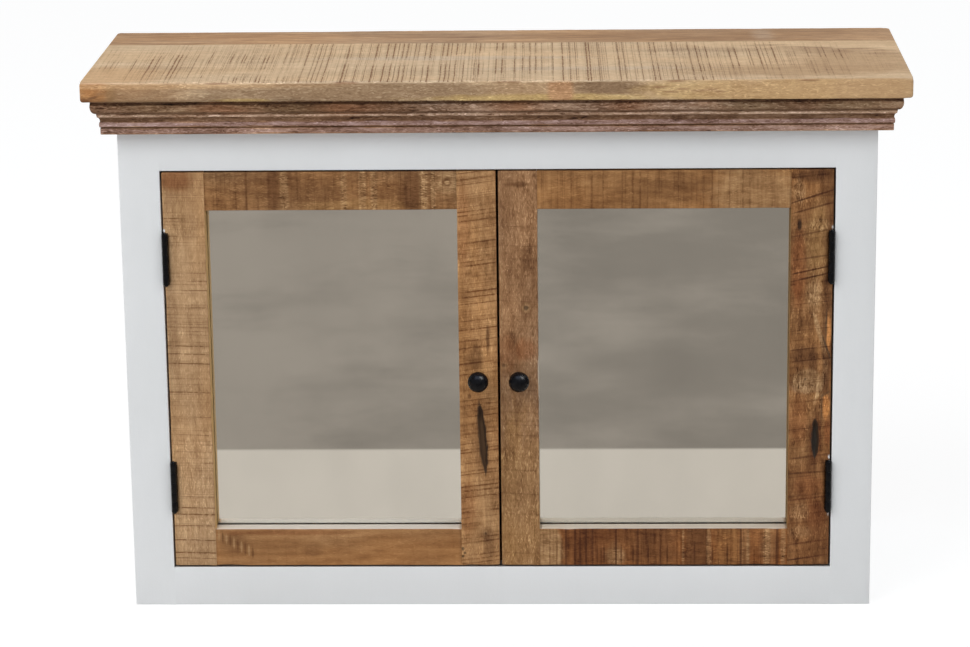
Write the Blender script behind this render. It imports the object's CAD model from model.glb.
"""The looks of a two-door mirror cabinet, put on its frame from the painted box outwards."""
import math
from collections import namedtuple
from functools import reduce

import bmesh
import bpy
from mathutils import Matrix, Vector, noise


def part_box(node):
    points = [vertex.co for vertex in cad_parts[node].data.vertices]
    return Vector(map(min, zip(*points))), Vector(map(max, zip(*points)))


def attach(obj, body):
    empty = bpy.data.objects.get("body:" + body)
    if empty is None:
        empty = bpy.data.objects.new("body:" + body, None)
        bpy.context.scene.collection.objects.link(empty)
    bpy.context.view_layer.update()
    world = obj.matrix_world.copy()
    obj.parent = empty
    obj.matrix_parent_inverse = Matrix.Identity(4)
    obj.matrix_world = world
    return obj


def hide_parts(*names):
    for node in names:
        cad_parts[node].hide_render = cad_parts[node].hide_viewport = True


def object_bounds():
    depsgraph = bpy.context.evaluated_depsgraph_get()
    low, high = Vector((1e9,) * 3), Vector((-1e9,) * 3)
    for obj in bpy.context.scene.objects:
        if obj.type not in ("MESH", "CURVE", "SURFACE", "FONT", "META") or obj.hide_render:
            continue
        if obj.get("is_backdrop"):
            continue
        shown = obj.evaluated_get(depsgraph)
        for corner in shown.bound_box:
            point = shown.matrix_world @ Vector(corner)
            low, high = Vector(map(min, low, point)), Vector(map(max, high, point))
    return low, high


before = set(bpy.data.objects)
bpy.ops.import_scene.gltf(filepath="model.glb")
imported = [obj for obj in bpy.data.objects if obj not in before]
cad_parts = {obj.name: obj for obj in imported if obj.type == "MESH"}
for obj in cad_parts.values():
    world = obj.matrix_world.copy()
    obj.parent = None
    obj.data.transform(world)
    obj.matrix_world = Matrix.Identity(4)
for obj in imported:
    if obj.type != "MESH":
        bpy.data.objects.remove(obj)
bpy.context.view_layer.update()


# Face frame
# Two stiles and two rails of planed hardwood, mortised together and glued to the front of the box.
# They are sprayed white as one face, so the paint closes the joints and rounds the arrises.

PAINT_WHITE = (0.785, 0.795, 0.800)
PAINT_SHADE = (0.755, 0.765, 0.768)
PAINT_ROUGHNESS = 0.42
PAINT_ARRIS = 0.0010
PAINT_ROWS = (0.0004, PAINT_ARRIS)
PEEL_SWING = 0.10
PEEL_DEPTH = 0.00006
GRIME = (0.060, 0.045, 0.035)
GRIME_STRENGTH = 0.7
GRIME_STARTS = 0.0006
GRIME_FULL = 0.0020
GRIME_FADES = 0.0080
GRIME_ENDS = 0.0200
SILL_SKIN = 0.0004
STILE_STEP = 0.015
RAIL_STEP = 0.020
LENGTH_STEP = 0.040
THROUGH_STEP = 0.008
EASED = 0.00145
MERGED = 1e-6
FLUSH = 1e-5
FLAT = math.radians(1)
SHARP = math.radians(38)


def feed(tree, node, inputs):
    """Set a node's inputs to values, or link sockets to them, by name or number."""
    for key, value in inputs.items():
        socket = node.inputs[key]
        if isinstance(value, bpy.types.NodeSocket):
            tree.links.new(value, socket)
        elif socket.type == "RGBA":
            socket.default_value = (*value, 1.0)
        else:
            socket.default_value = value


def add(tree, kind, inputs=None, **settings):
    """A new shader node, with its settings and its inputs."""
    made = tree.nodes.new(kind)
    for name, value in settings.items():
        setattr(made, name, value)
    feed(tree, made, inputs or {})
    return made


def calculate(tree, operation, first, second=0.0, third=0.0):
    """The result of one sum on up to three values."""
    return add(tree, "ShaderNodeMath", {0: first, 1: second, 2: third}, operation=operation).outputs[0]


def product(tree, *values):
    """Some values multiplied together."""
    return reduce(lambda so_far, value: calculate(tree, "MULTIPLY", so_far, value), values)


def total(tree, *values):
    """Some values added together."""
    return reduce(lambda so_far, value: calculate(tree, "ADD", so_far, value), values)


def vector(tree, operation, first, second):
    """The result of one sum on two vectors."""
    return add(tree, "ShaderNodeVectorMath", {0: first, 1: second}, operation=operation).outputs[0]


def split(tree, place):
    """The three parts of a vector."""
    return add(tree, "ShaderNodeSeparateXYZ", {0: place}).outputs


def together(tree, parts):
    """A vector of three parts."""
    return add(tree, "ShaderNodeCombineXYZ", dict(enumerate(parts))).outputs[0]


def stepped(tree, value, start, end, low=0.0, high=1.0):
    """A smooth step from low to high while a value goes from start to end."""
    made = add(tree, "ShaderNodeMapRange", {"Value": value, "From Min": start, "From Max": end,
                                            "To Min": low, "To Max": high},
               interpolation_type="SMOOTHSTEP")
    return made.outputs["Result"]


def mixed(tree, share, first, second):
    """A colour between two others."""
    return add(tree, "ShaderNodeMix", {0: share, 6: first, 7: second}, data_type="RGBA").outputs[2]


def speckle(tree, place, scales, detail=2.0, roughness=0.5, twist=0.0):
    """Noise from 0 to 1 with its own number of spots per metre on each axis."""
    made = add(tree, "ShaderNodeTexNoise",
               {"Vector": vector(tree, "MULTIPLY", place, scales), "Scale": 1.0, "Detail": detail,
                "Roughness": roughness, "Distortion": twist})
    return made.outputs[0]


def new_finish(name, roughness, metallic=0.0):
    """A Principled material, with its node tree, its shader and the place on the piece."""
    material = bpy.data.materials.new(name)
    material.use_nodes = True
    tree = material.node_tree
    shader = tree.nodes["Principled BSDF"]
    feed(tree, shader, {"Roughness": roughness, "Metallic": metallic})
    place = add(tree, "ShaderNodeTexCoord").outputs["Object"]
    return material, tree, shader, place


def bump(tree, shader, height, distance):
    """Let a height, in shares of a distance in metres, tilt the shading."""
    made = add(tree, "ShaderNodeBump", {"Height": height, "Distance": distance, "Strength": 1.0})
    feed(tree, shader, {"Normal": made.outputs["Normal"]})


def painted():
    """Sprayed satin paint: clouds of a deeper white, an orange-peel skin, and grime under the doors."""
    material, tree, shader, place = new_finish("white_paint", PAINT_ROUGHNESS)
    clouds = speckle(tree, place, (5.0, 5.0, 3.0), 3.0)
    colour = mixed(tree, stepped(tree, clouds, 0.35, 0.65), PAINT_SHADE, PAINT_WHITE)
    x, y, z = split(tree, place)
    on_sill = calculate(tree, "COMPARE", z, opening_low, SILL_SKIN)
    between = calculate(tree, "LESS_THAN", calculate(tree, "ABSOLUTE", x), half_opening)
    dirty = product(tree, stepped(tree, y, body_front + GRIME_STARTS, body_front + GRIME_FULL),
                    stepped(tree, y, body_front + GRIME_ENDS, body_front + GRIME_FADES),
                    on_sill, between, GRIME_STRENGTH)
    peel = speckle(tree, place, (420.0, 420.0, 420.0), 1.0)
    grain = speckle(tree, place, (160.0, 160.0, 12.0), 3.0)
    sheen = calculate(tree, "MULTIPLY_ADD", peel, PEEL_SWING, PAINT_ROUGHNESS - PEEL_SWING / 2)
    feed(tree, shader, {"Base Color": mixed(tree, dirty, colour, GRIME), "Roughness": sheen})
    bump(tree, shader, total(tree, peel, grain), PEEL_DEPTH)
    return material


def settle(name, shape, material, body, replaced=(), sharp=SHARP):
    """Make a finished shape a piece that rides on a body and stands for CAD nodes."""
    bmesh.ops.recalc_face_normals(shape, faces=shape.faces)
    mesh = bpy.data.meshes.new(name)
    shape.to_mesh(mesh)
    shape.free()
    mesh.materials.append(material)
    mesh.shade_smooth()
    mesh.set_sharp_from_angle(angle=sharp)
    piece = bpy.data.objects.new(name, mesh)
    bpy.context.scene.collection.objects.link(piece)
    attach(piece, body)
    if replaced:
        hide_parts(*replaced)


def merged_copy(node):
    """A copy of a CAD node's mesh, with its loose triangles joined."""
    shape = bmesh.new()
    shape.from_mesh(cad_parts[node].data)
    bmesh.ops.remove_doubles(shape, verts=shape.verts, dist=MERGED)
    return shape


def flatten(shape):
    """Make one face of all the triangles that lie in a plane."""
    bmesh.ops.dissolve_limit(shape, angle_limit=FLAT, verts=shape.verts, edges=shape.edges)


def squared_copy(node, seats, kept=None):
    """A copy of a board with square arrises. Seats are the planes of its faces by axis, and kept is a
    box between two corners where nothing is squared."""
    shape = merged_copy(node)
    for corner in shape.verts:
        if kept and all(kept[0][axis] < corner.co[axis] < kept[1][axis] for axis in range(3)):
            continue
        for axis, places in seats.items():
            for place in places:
                if abs(corner.co[axis] - place) < EASED:
                    corner.co[axis] = place
    bmesh.ops.remove_doubles(shape, verts=shape.verts, dist=FLUSH)
    bmesh.ops.dissolve_degenerate(shape, edges=shape.edges, dist=FLUSH)
    flatten(shape)
    return shape


def whole(faces):
    """Some faces with their edges and corners, as an operator wants them."""
    edges = dict.fromkeys(edge for face in faces for edge in face.edges)
    corners = dict.fromkeys(corner for face in faces for corner in face.verts)
    return [*corners, *edges, *faces]


def cut(shape, faces, axis, place):
    """Cut some faces of a shape with a plane square to an axis, and give the faces that come of it."""
    normal = Vector((axis == 0, axis == 1, axis == 2))
    made = bmesh.ops.bisect_plane(shape, geom=whole(faces), dist=MERGED / 10, plane_co=normal * place,
                                  plane_no=normal)
    return [item for item in made["geom"] if isinstance(item, bmesh.types.BMFace)]


def cut_at(shape, axis, places):
    """Cut a whole shape at several places along one axis."""
    ahead = shape.faces[:]
    for place in sorted(places):
        ahead = [face for face in ahead if max(corner.co[axis] for corner in face.verts) > place]
        ahead = cut(shape, ahead, axis, place)


def evenly(low, high, step):
    """Places from one value to another, about a step apart."""
    count = max(1, round((high - low) / step))
    return [low + (high - low) * number / count for number in range(count + 1)]


def spaced(low, high, step, margins=()):
    """Places for cuts between two values, with closer ones at given margins from each end."""
    clear = 1.5 * max(margins, default=0.0)
    places = [place for place in evenly(low, high, step)[1:-1] if low + clear < place < high - clear]
    return places + [low + margin for margin in margins] + [high - margin for margin in margins]


def soften(shape, low, high, radius):
    """Round the arrises of a board between two corners. Radius gives the round at a place."""
    for corner in shape.verts:
        place = corner.co
        if min(abs(place[axis] - face[axis]) for face in (low, high) for axis in range(3)) > FLUSH:
            continue
        round_here = radius(place)
        core = Vector([min(max(place[axis], low[axis] + round_here), high[axis] - round_here)
                       for axis in range(3)])
        outward = place - core
        if outward.length > 0:
            corner.co = core + outward.normalized() * round_here


stile_low, stile_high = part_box("frame_right_stile")
half_body, half_opening = stile_high.x, stile_low.x
body_front = stile_low.y
opening_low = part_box("frame_bottom_rail")[1].z
opening_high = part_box("frame_top_rail")[0].z
paint = painted()

for side in ("left", "right"):
    node = f"frame_{side}_stile"
    low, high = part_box(node)
    shape = squared_copy(node, {axis: (low[axis], high[axis]) for axis in range(3)})
    cut_at(shape, 0, spaced(low.x, high.x, STILE_STEP, PAINT_ROWS))
    cut_at(shape, 1, spaced(low.y, high.y, THROUGH_STEP, PAINT_ROWS))
    cut_at(shape, 2, spaced(low.z, high.z, LENGTH_STEP, PAINT_ROWS) + [opening_low, opening_high])

    def stile_round(place):
        """Round everywhere but at the joints with the rails."""
        at_joint = abs(abs(place.x) - half_opening) < 2 * PAINT_ARRIS
        beside_door = opening_low + FLUSH < place.z < opening_high - FLUSH
        return 0.0 if at_joint and not beside_door else PAINT_ARRIS

    soften(shape, low, high, stile_round)
    settle(node + "_painted", shape, paint, "cabinet", [node])

for word in ("top", "bottom"):
    node = f"frame_{word}_rail"
    low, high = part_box(node)
    ends = (-half_opening, half_opening)
    shape = squared_copy(node, {0: ends, 1: (low.y, high.y), 2: (low.z, high.z)})
    cut_at(shape, 1, spaced(low.y, high.y, THROUGH_STEP, PAINT_ROWS))
    cut_at(shape, 2, spaced(low.z, high.z, RAIL_STEP, PAINT_ROWS))
    cut_at(shape, 0, spaced(*ends, LENGTH_STEP))
    past_joint = Vector((1.0, 0.0, 0.0))
    soften(shape, low - past_joint, high + past_joint, lambda place: PAINT_ARRIS)
    settle(node + "_painted", shape, paint, "cabinet", [node])


# Sides
# Plain boards, rabbeted behind for the back and housed for the bottom, in the same white paint.
# Their front edges are glued to the back of the face frame.

def dress(node, material):
    """Give a CAD node its finish."""
    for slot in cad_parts[node].material_slots:
        slot.material = material


for side in ("left", "right"):
    dress(f"side_{side}", paint)


# Boards inside the box
# The bottom, the shelf, the rail that takes the wall screws and the cleats under the top are planed
# hardwood with a thin clear oil. The cleats are screwed up into the top from inside.

INSIDE_TONE = (0.450, 0.290, 0.160)
INSIDE_RELIEF = 0.00012
BOARD_SHINE = 0.55
BOARD_SPECULAR = 0.18
BOARD_RELIEF = 0.0003
SAWN_SKIN = 0.0009
LINE_BURN = (0.38, 0.27, 0.19)
WOOL_GRAIN = 0.45
SHADE_POWERS = (0.85, 1.05, 1.25)
WARM_CAST = (1.05, 0.98, 0.88)
GREY_CAST = (0.96, 1.00, 1.07)

# A look's spacing, width, slope and strength are those of the lines that a blade leaves across a board.
# A stain's ragged edge follows the grain, its lean is a slope, and its wool is how far it is torn up.
Look = namedtuple("Look", "tone spread spacing width slope strength grain fuzz figure chatter",
                  defaults=(0.22, 0.010, 0.001, 0.0, 0.0, 0.75, 0.3, 0.4, 0.0))
Stain = namedtuple("Stain", "at reach colour strength ragged softness lean wool",
                   defaults=(0.8, 1.2, 0.45, 0.0, 0.0))


def new_group(name, inputs, outputs):
    """An empty shader node group, with the sockets that it is given and the node that takes its results."""
    tree = bpy.data.node_groups.new(name, "ShaderNodeTree")
    for way, sockets in (("INPUT", inputs), ("OUTPUT", outputs)):
        for title, kind in sockets.items():
            tree.interface.new_socket(name=title, in_out=way, socket_type=f"NodeSocket{kind}")
    return tree, add(tree, "NodeGroupInput").outputs, add(tree, "NodeGroupOutput")


def make_wood_surface():
    """Fibres, figure, wool and blade marks over a tone. Place is along the grain, across it and through."""
    tree, given, result = new_group(
        "wood_surface",
        {"Place": "Vector", "Tone": "Color", "Seed": "Float", "Middle": "Float", "Half thickness": "Float",
         "Line spacing": "Float", "Line width": "Float", "Line slope": "Float", "Line strength": "Float",
         "Grain": "Float", "Fuzz": "Float", "Figure": "Float", "Chatter": "Float"},
        {"Color": "Color", "Height": "Float", "Roughness": "Float"})
    along, across, depth = split(tree, given["Place"])
    place = vector(tree, "ADD", given["Place"], together(tree, [given["Seed"]] * 3))

    def swing(value, amount):
        """A noise about zero, with an amount from its lowest to its highest."""
        return product(tree, calculate(tree, "SUBTRACT", value, 0.5), amount)

    fibres = speckle(tree, place, (12.0, 300.0, 300.0), 4.0, 0.6)
    wool = speckle(tree, place, (130.0, 480.0, 480.0), 2.0, 0.55, 1.6)
    tufts = stepped(tree, speckle(tree, place, (16.0, 48.0, 48.0), 2.0), 0.36, 0.60, 0.25)
    banded = stepped(tree, speckle(tree, place, (62.0, 16.0, 16.0), 2.0), 0.42, 0.60, 0.12)
    rough = calculate(tree, "MINIMUM", given["Chatter"], 1.0)
    tufts = calculate(tree, "MULTIPLY_ADD", calculate(tree, "SUBTRACT", banded, tufts), rough, tufts)
    flecks = product(tree, stepped(tree, wool, 0.54, 0.72), tufts)
    pores = stepped(tree, speckle(tree, place, (80.0, 800.0, 800.0), 1.0), 0.60, 0.72)
    clouds = speckle(tree, place, (18.0, 75.0, 75.0), 4.0, 0.6, 1.0)
    chatter = speckle(tree, place, (115.0, 30.0, 30.0), 3.0, 0.6)
    bend = swing(speckle(tree, place, (3.5, 16.0, 16.0), 3.0), 46.0)
    turn = product(tree, total(tree, across, depth), 420.0)
    rings = calculate(tree, "SINE", total(tree, turn, bend))

    face = calculate(tree, "ABSOLUTE", calculate(tree, "SUBTRACT", depth, given["Middle"]))
    skin = calculate(tree, "SUBTRACT", given["Half thickness"], SAWN_SKIN)
    sawn = calculate(tree, "GREATER_THAN", face, skin)
    waver = swing(speckle(tree, place, (5.0, 20.0, 20.0)), 0.0016)
    run = total(tree, along, product(tree, across, given["Line slope"]), given["Seed"], waver)
    marks = []
    for finer, weight in ((1.0, 1.0), (2.7, 0.6)):
        per_metre = calculate(tree, "DIVIDE", finer, given["Line spacing"])
        cells = add(tree, "ShaderNodeTexVoronoi", {"W": run, "Scale": per_metre},
                    voronoi_dimensions="1D").outputs
        away = calculate(tree, "DIVIDE", cells["Distance"], per_metre)
        force, girth, _ = add(tree, "ShaderNodeSeparateColor", {0: cells["Color"]}).outputs
        reach = product(tree, given["Line width"], stepped(tree, girth, 0.0, 1.0, 0.5 / finer, 1.9 / finer))
        core = stepped(tree, away, reach, 0.0)
        halo = stepped(tree, away, product(tree, reach, 4.5), 0.0, 0.0, 0.20)
        line = calculate(tree, "MAXIMUM", core, halo)
        dots = stepped(tree, speckle(tree, place, (520.0, 210.0, 210.0)), 0.32, 0.54, 0.28)
        cluster = stepped(tree, speckle(tree, place, (9.0 * finer, 14.0, 14.0)), 0.36, 0.52, 0.25)
        marks.append(product(tree, line, stepped(tree, force, 0.0, 0.6), dots, cluster, weight))
    mark = product(tree, calculate(tree, "MAXIMUM", *marks), sawn, given["Line strength"])

    level = total(tree, 1.0, swing(fibres, given["Grain"]), swing(wool, given["Fuzz"]),
                  swing(clouds, given["Figure"]), product(tree, rings, 0.09, given["Figure"]),
                  product(tree, swing(chatter, given["Chatter"]), sawn),
                  product(tree, flecks, 0.42, given["Fuzz"]), product(tree, pores, -0.34, given["Grain"]))
    level = calculate(tree, "MAXIMUM", level, 0.05)
    shade = together(tree, [calculate(tree, "POWER", level, power) for power in SHADE_POWERS])
    toned = vector(tree, "MULTIPLY", given["Tone"], shade)
    burnt = vector(tree, "MULTIPLY", toned, LINE_BURN)
    raised = total(tree, product(tree, fibres, 0.35), product(tree, wool, 0.5))
    sunk = total(tree, mark, product(tree, pores, 0.3))
    dull = total(tree, product(tree, wool, 0.22), product(tree, mark, 0.15), BOARD_SHINE - 0.1)
    feed(tree, result, {"Color": mixed(tree, mark, toned, burnt), "Roughness": dull,
                        "Height": calculate(tree, "SUBTRACT", raised, sunk)})
    return tree


def make_stain():
    """A soft patch on a board, its edge torn along the grain. Lean is its rise for each step along X."""
    tree, given, result = new_group(
        "stain", {"Place": "Vector", "Centre": "Vector", "Reach": "Vector", "Torn": "Float",
                  "Ragged": "Float", "Softness": "Float", "Lean": "Float"}, {"Mask": "Float"})
    x, y, z = split(tree, vector(tree, "SUBTRACT", given["Place"], given["Centre"]))
    z = calculate(tree, "SUBTRACT", z, product(tree, x, given["Lean"]))
    share = vector(tree, "DIVIDE", together(tree, (x, y, z)), given["Reach"])
    length = add(tree, "ShaderNodeVectorMath", {0: share}, operation="LENGTH").outputs["Value"]
    edge = total(tree, length, product(tree, given["Torn"], given["Ragged"]))
    outer = total(tree, 1.0, given["Softness"])
    inner = calculate(tree, "SUBTRACT", 1.0, given["Softness"])
    feed(tree, result, {"Mask": stepped(tree, edge, outer, inner)})
    return tree


wood_surface = make_wood_surface()
stain_patch = make_stain()


def stain_mask(tree, place, torn, stain):
    """The mask of one stain on a board."""
    made = add(tree, "ShaderNodeGroup",
               {"Place": place, "Torn": torn, "Centre": stain.at, "Reach": stain.reach, "Lean": stain.lean,
                "Ragged": stain.ragged, "Softness": stain.softness}, node_tree=stain_patch)
    return made.outputs["Mask"]


def shaded(tone, spread):
    """A darker, redder shade of a tone, or a lighter one where spread is below zero."""
    return tuple(share * (1.0 - spread * (1.0 + 0.15 * number)) for number, share in enumerate(tone))


def wooden(name, along, flat, box, look, seed, stains=(), relief=BOARD_RELIEF, lines_within=None):
    """Wood with its grain along an axis, in a board that is thin along another."""
    material, tree, shader, place = new_finish(name, BOARD_SHINE)
    parts = split(tree, place)
    order = along + "".join(axis for axis in "XYZ" if axis not in (along, flat)) + flat
    own = together(tree, [parts["XYZ".index(axis)] for axis in order])
    shifted = vector(tree, "ADD", own, (seed, seed, seed))
    clouds = speckle(tree, shifted, (7.0, 34.0, 34.0), 4.0, 0.6)
    tone = mixed(tree, stepped(tree, clouds, 0.30, 0.70), shaded(look.tone, look.spread),
                 shaded(look.tone, -0.7 * look.spread))
    drift = stepped(tree, speckle(tree, shifted, (4.0, 11.0, 11.0), 3.0), 0.35, 0.65)
    casts = [tuple(1.0 + (share - 1.0) * min(1.0, look.spread / 0.2) for share in cast)
             for cast in (GREY_CAST, WARM_CAST)]
    tone = vector(tree, "MULTIPLY", tone, mixed(tree, drift, *casts))
    torn = calculate(tree, "SUBTRACT", speckle(tree, shifted, (28.0, 120.0, 120.0), 3.0, 0.6), 0.5)
    torn_up = 0.0
    for stain in stains:
        mask = stain_mask(tree, place, torn, stain)
        tone = mixed(tree, product(tree, mask, stain.strength), tone, stain.colour)
        if stain.wool:
            torn_up = calculate(tree, "MULTIPLY_ADD", mask, stain.wool, torn_up)
    strength = look.strength
    if lines_within:
        strength = product(tree, stain_mask(tree, place, torn, lines_within), look.strength)
    low, high = (corner["XYZ".index(flat)] for corner in box)
    surface = add(tree, "ShaderNodeGroup",
                  {"Place": own, "Tone": tone, "Seed": seed, "Middle": (high + low) / 2,
                   "Half thickness": (high - low) / 2, "Line spacing": look.spacing,
                   "Line width": look.width, "Line slope": look.slope, "Line strength": strength,
                   "Figure": look.figure, "Chatter": look.chatter, "Fuzz": total(tree, torn_up, look.fuzz),
                   "Grain": total(tree, calculate(tree, "MINIMUM", torn_up, WOOL_GRAIN), look.grain)},
                  node_tree=wood_surface).outputs
    feed(tree, shader, {"Base Color": surface["Color"], "Roughness": surface["Roughness"],
                        "Specular IOR Level": BOARD_SPECULAR})
    bump(tree, shader, surface["Height"], relief)
    return material, tree, shader, place


inside_boards = {"bottom_panel": ("X", "Z"), "shelf": ("X", "Z"), "hanging_rail": ("X", "Y"),
                 "top_cleat_left": ("Y", "X"), "top_cleat_right": ("Y", "X")}
for number, (node, (along, flat)) in enumerate(inside_boards.items()):
    finish = wooden(f"{node}_wood", along, flat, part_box(node), Look(INSIDE_TONE), 3.1 + number,
                    relief=INSIDE_RELIEF)
    dress(node, finish[0])

STEEL_COLOUR = (0.56, 0.56, 0.55)
STEEL_ROUGHNESS = 0.34
METAL_RELIEF = 0.00002
SCREW_SIDES = 24
SCREW_DOME = 0.6
SCREW_RIM = 0.2
SCREW_ARM = 0.13
SCREW_RECESS = 0.6
CLEAT_SCREW_RADIUS = 0.0036
CLEAT_SCREW_HEIGHT = 0.0010
CLEAT_SCREW_SHARES = (0.15, 0.5, 0.85)


def metal(name, colour, roughness, metallic=1.0, wear=0.15):
    """Bare or plated metal with faint brushed streaks and handled spots."""
    material, tree, shader, place = new_finish(name, roughness, metallic)
    spots = speckle(tree, place, (180.0, 180.0, 180.0), 3.0)
    darker = tuple(0.72 * share for share in colour)
    brushed = speckle(tree, place, (900.0, 900.0, 60.0), 2.0)
    feed(tree, shader, {"Base Color": mixed(tree, stepped(tree, spots, 0.3, 0.7), darker, colour),
                        "Roughness": calculate(tree, "MULTIPLY_ADD", brushed, wear, roughness - wear / 2)})
    bump(tree, shader, brushed, METAL_RELIEF)
    return material


def rounded(shape, edges, radius, steps=2):
    """Round some edges of a shape."""
    bmesh.ops.bevel(shape, geom=edges, offset=radius, segments=steps, profile=0.5, affect="EDGES",
                    material=-1)


def disc(radius, height, sides, rim=0.0, steps=2):
    """A disc, seated at the origin and facing +Z, with its rim rounded if it is given a radius for it."""
    shape = bmesh.new()
    bmesh.ops.create_cone(shape, cap_ends=True, segments=sides, radius1=radius, radius2=radius, depth=height,
                          matrix=Matrix.Translation((0, 0, height / 2)))
    if rim:
        edges = [edge for edge in shape.edges if all(corner.co.z > height / 2 for corner in edge.verts)]
        rounded(shape, edges, rim, steps)
    return shape


def screw_head(radius, height):
    """A low round screw head with a cross recess, seated at the origin and facing +Z."""
    shape = disc(radius, height, SCREW_SIDES, SCREW_DOME * height, 3)
    crown = max(shape.faces, key=lambda face: face.calc_center_median().z)
    bmesh.ops.inset_region(shape, faces=[crown], thickness=SCREW_RIM * radius)
    arm = SCREW_ARM * radius
    faces = [crown]
    for axis, place in ((0, -arm), (0, arm), (1, -arm), (1, arm)):
        faces = cut(shape, faces, axis, place)
    cross = [face for face in faces if min(abs(share) for share in face.calc_center_median().xy) < arm]
    sunk = bmesh.ops.extrude_face_region(shape, geom=whole(cross))
    moved = [item for item in sunk["geom"] if isinstance(item, bmesh.types.BMVert)]
    bmesh.ops.translate(shape, vec=(0, 0, -SCREW_RECESS * height), verts=moved)
    return shape


def stamp(target, source, matrix):
    """Add a copy of one shape to another at a place."""
    mesh = bpy.data.meshes.new("stamp")
    source.to_mesh(mesh)
    mesh.transform(matrix)
    target.from_mesh(mesh)
    bpy.data.meshes.remove(mesh)


def facing(direction, place):
    """The matrix that turns +Z to a direction and moves the origin to a place."""
    return Matrix.Translation(place) @ Vector(direction).to_track_quat("Z", "Y").to_matrix().to_4x4()


def driven(head, direction, places):
    """Copies of a screw or nail head at several places, all facing one way."""
    shape = bmesh.new()
    for place in places:
        stamp(shape, head, facing(direction, place))
    return shape


steel = metal("bright_steel", STEEL_COLOUR, STEEL_ROUGHNESS)
cleat_screw = screw_head(CLEAT_SCREW_RADIUS, CLEAT_SCREW_HEIGHT)
for side in ("left", "right"):
    low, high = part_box(f"top_cleat_{side}")
    screws = driven(cleat_screw, (0, 0, -1), [((low.x + high.x) / 2, low.y + share * (high.y - low.y), low.z)
                                              for share in CLEAT_SCREW_SHARES])
    settle(f"top_cleat_{side}_screws", screws, steel, "cabinet")
cleat_screw.free()


# Back
# A thin plywood sheet that drops into the rabbets of the sides, with its face grain upright.
# It is pinned all round with small flat-headed nails, which stand a little proud of it.

PLY_LOOK = Look((0.520, 0.365, 0.215), 0.10, grain=0.5, fuzz=0.2, figure=0.25)
PLY_RELIEF = 0.0001
PLY_EASE = 0.0003
NAIL_SIDES = 16
NAIL_RADIUS = 0.0016
NAIL_SPACING = 0.095
NAIL_FROM_EDGE = 0.005
NAIL_STAND = 0.0003


def block(low, high, radius=0.0, steps=2):
    """A block between two corners, with its edges rounded if it is given a radius."""
    low, high = Vector(low), Vector(high)
    shape = bmesh.new()
    bmesh.ops.create_cube(shape, size=1.0)
    bmesh.ops.scale(shape, vec=high - low, verts=shape.verts)
    bmesh.ops.translate(shape, vec=(low + high) / 2, verts=shape.verts)
    if radius:
        rounded(shape, shape.edges[:], radius, steps)
    return shape


def nail_head(radius, height):
    """A flat nail head with a rounded rim, seated at the origin and facing +Z."""
    return disc(radius, height, NAIL_SIDES, height / 2)


def nailed_round(low, high, face, spacing, inset):
    """Places for nails along the four edges of an upright sheet, on its face."""
    across = evenly(low.x + inset, high.x - inset, spacing)
    upright = evenly(low.z + inset, high.z - inset, spacing)
    places = [(x, face, z) for z in (upright[0], upright[-1]) for x in across]
    return places + [(x, face, z) for x in (across[0], across[-1]) for z in upright[1:-1]]


low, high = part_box("back_panel")
back_face = high.y - NAIL_STAND
sheet = block(low, (high.x, back_face, high.z), PLY_EASE)
plywood = wooden("plywood", "Z", "Y", (low, high), PLY_LOOK, 9.4, relief=PLY_RELIEF)[0]
settle("back_sheet", sheet, plywood, "cabinet", ["back_panel"])
nail = nail_head(NAIL_RADIUS, NAIL_STAND)
nails = driven(nail, (0, 1, 0), nailed_round(low, high, back_face, NAIL_SPACING, NAIL_FROM_EDGE))
settle("back_sheet_nails", nails, steel, "cabinet")
nail.free()


# Shelf pins
# Four turned steel pins, each with a collar that stops it at the side and a peg under the shelf.
# They push into blind holes and come out again with the shelf.

PIN_SIDES = 32
PIN_COLLAR_RADIUS = 0.0036
PIN_COLLAR_LENGTH = 0.0015
PIN_PEG_RADIUS = 0.0025
PIN_SHANK_RADIUS = 0.0024
PIN_SHANK_LENGTH = 0.010
PIN_ROUND = 0.0003


def turned(profile, sides, matrix):
    """A turned piece put in its place, from (radius, height) points that begin and end on its axis."""
    shape = bmesh.new()
    corners = [shape.verts.new((radius, 0.0, height)) for radius, height in profile]
    edges = [shape.edges.new(pair) for pair in zip(corners, corners[1:])]
    bmesh.ops.spin(shape, geom=corners + edges, cent=(0, 0, 0), axis=(0, 0, 1), angle=math.tau, steps=sides,
                   use_merge=True)
    bmesh.ops.remove_doubles(shape, verts=shape.verts, dist=MERGED / 10)
    bmesh.ops.transform(shape, matrix=matrix, verts=shape.verts)
    return shape


for side, outward in (("left", -1), ("right", 1)):
    for row in ("front", "back"):
        node = f"shelf_pin_{row}_{side}"
        low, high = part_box(node)
        middle = (low + high) / 2
        tip = high.x if outward > 0 else low.x
        length = high.x - low.x
        collar_end = PIN_SHANK_LENGTH + PIN_COLLAR_LENGTH
        profile = [(0.0, 0.0), (PIN_SHANK_RADIUS - PIN_ROUND, 0.0), (PIN_SHANK_RADIUS, PIN_ROUND),
                   (PIN_SHANK_RADIUS, PIN_SHANK_LENGTH), (PIN_COLLAR_RADIUS, PIN_SHANK_LENGTH + PIN_ROUND),
                   (PIN_COLLAR_RADIUS, collar_end), (PIN_PEG_RADIUS, collar_end),
                   (PIN_PEG_RADIUS, length - PIN_ROUND), (PIN_PEG_RADIUS - PIN_ROUND, length), (0.0, length)]
        shape = turned(profile, PIN_SIDES, facing((-outward, 0, 0), (tip, middle.y, middle.z)))
        settle(f"{node}_turned", shape, steel, "cabinet", [node])


# Top
# Two rough-sawn mango boards glued edge to edge, sanded lightly and waxed, screwed down over the cornice.
# The blade left thin dark lines straight across the front board, and its front arris is worn and chipped.

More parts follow.
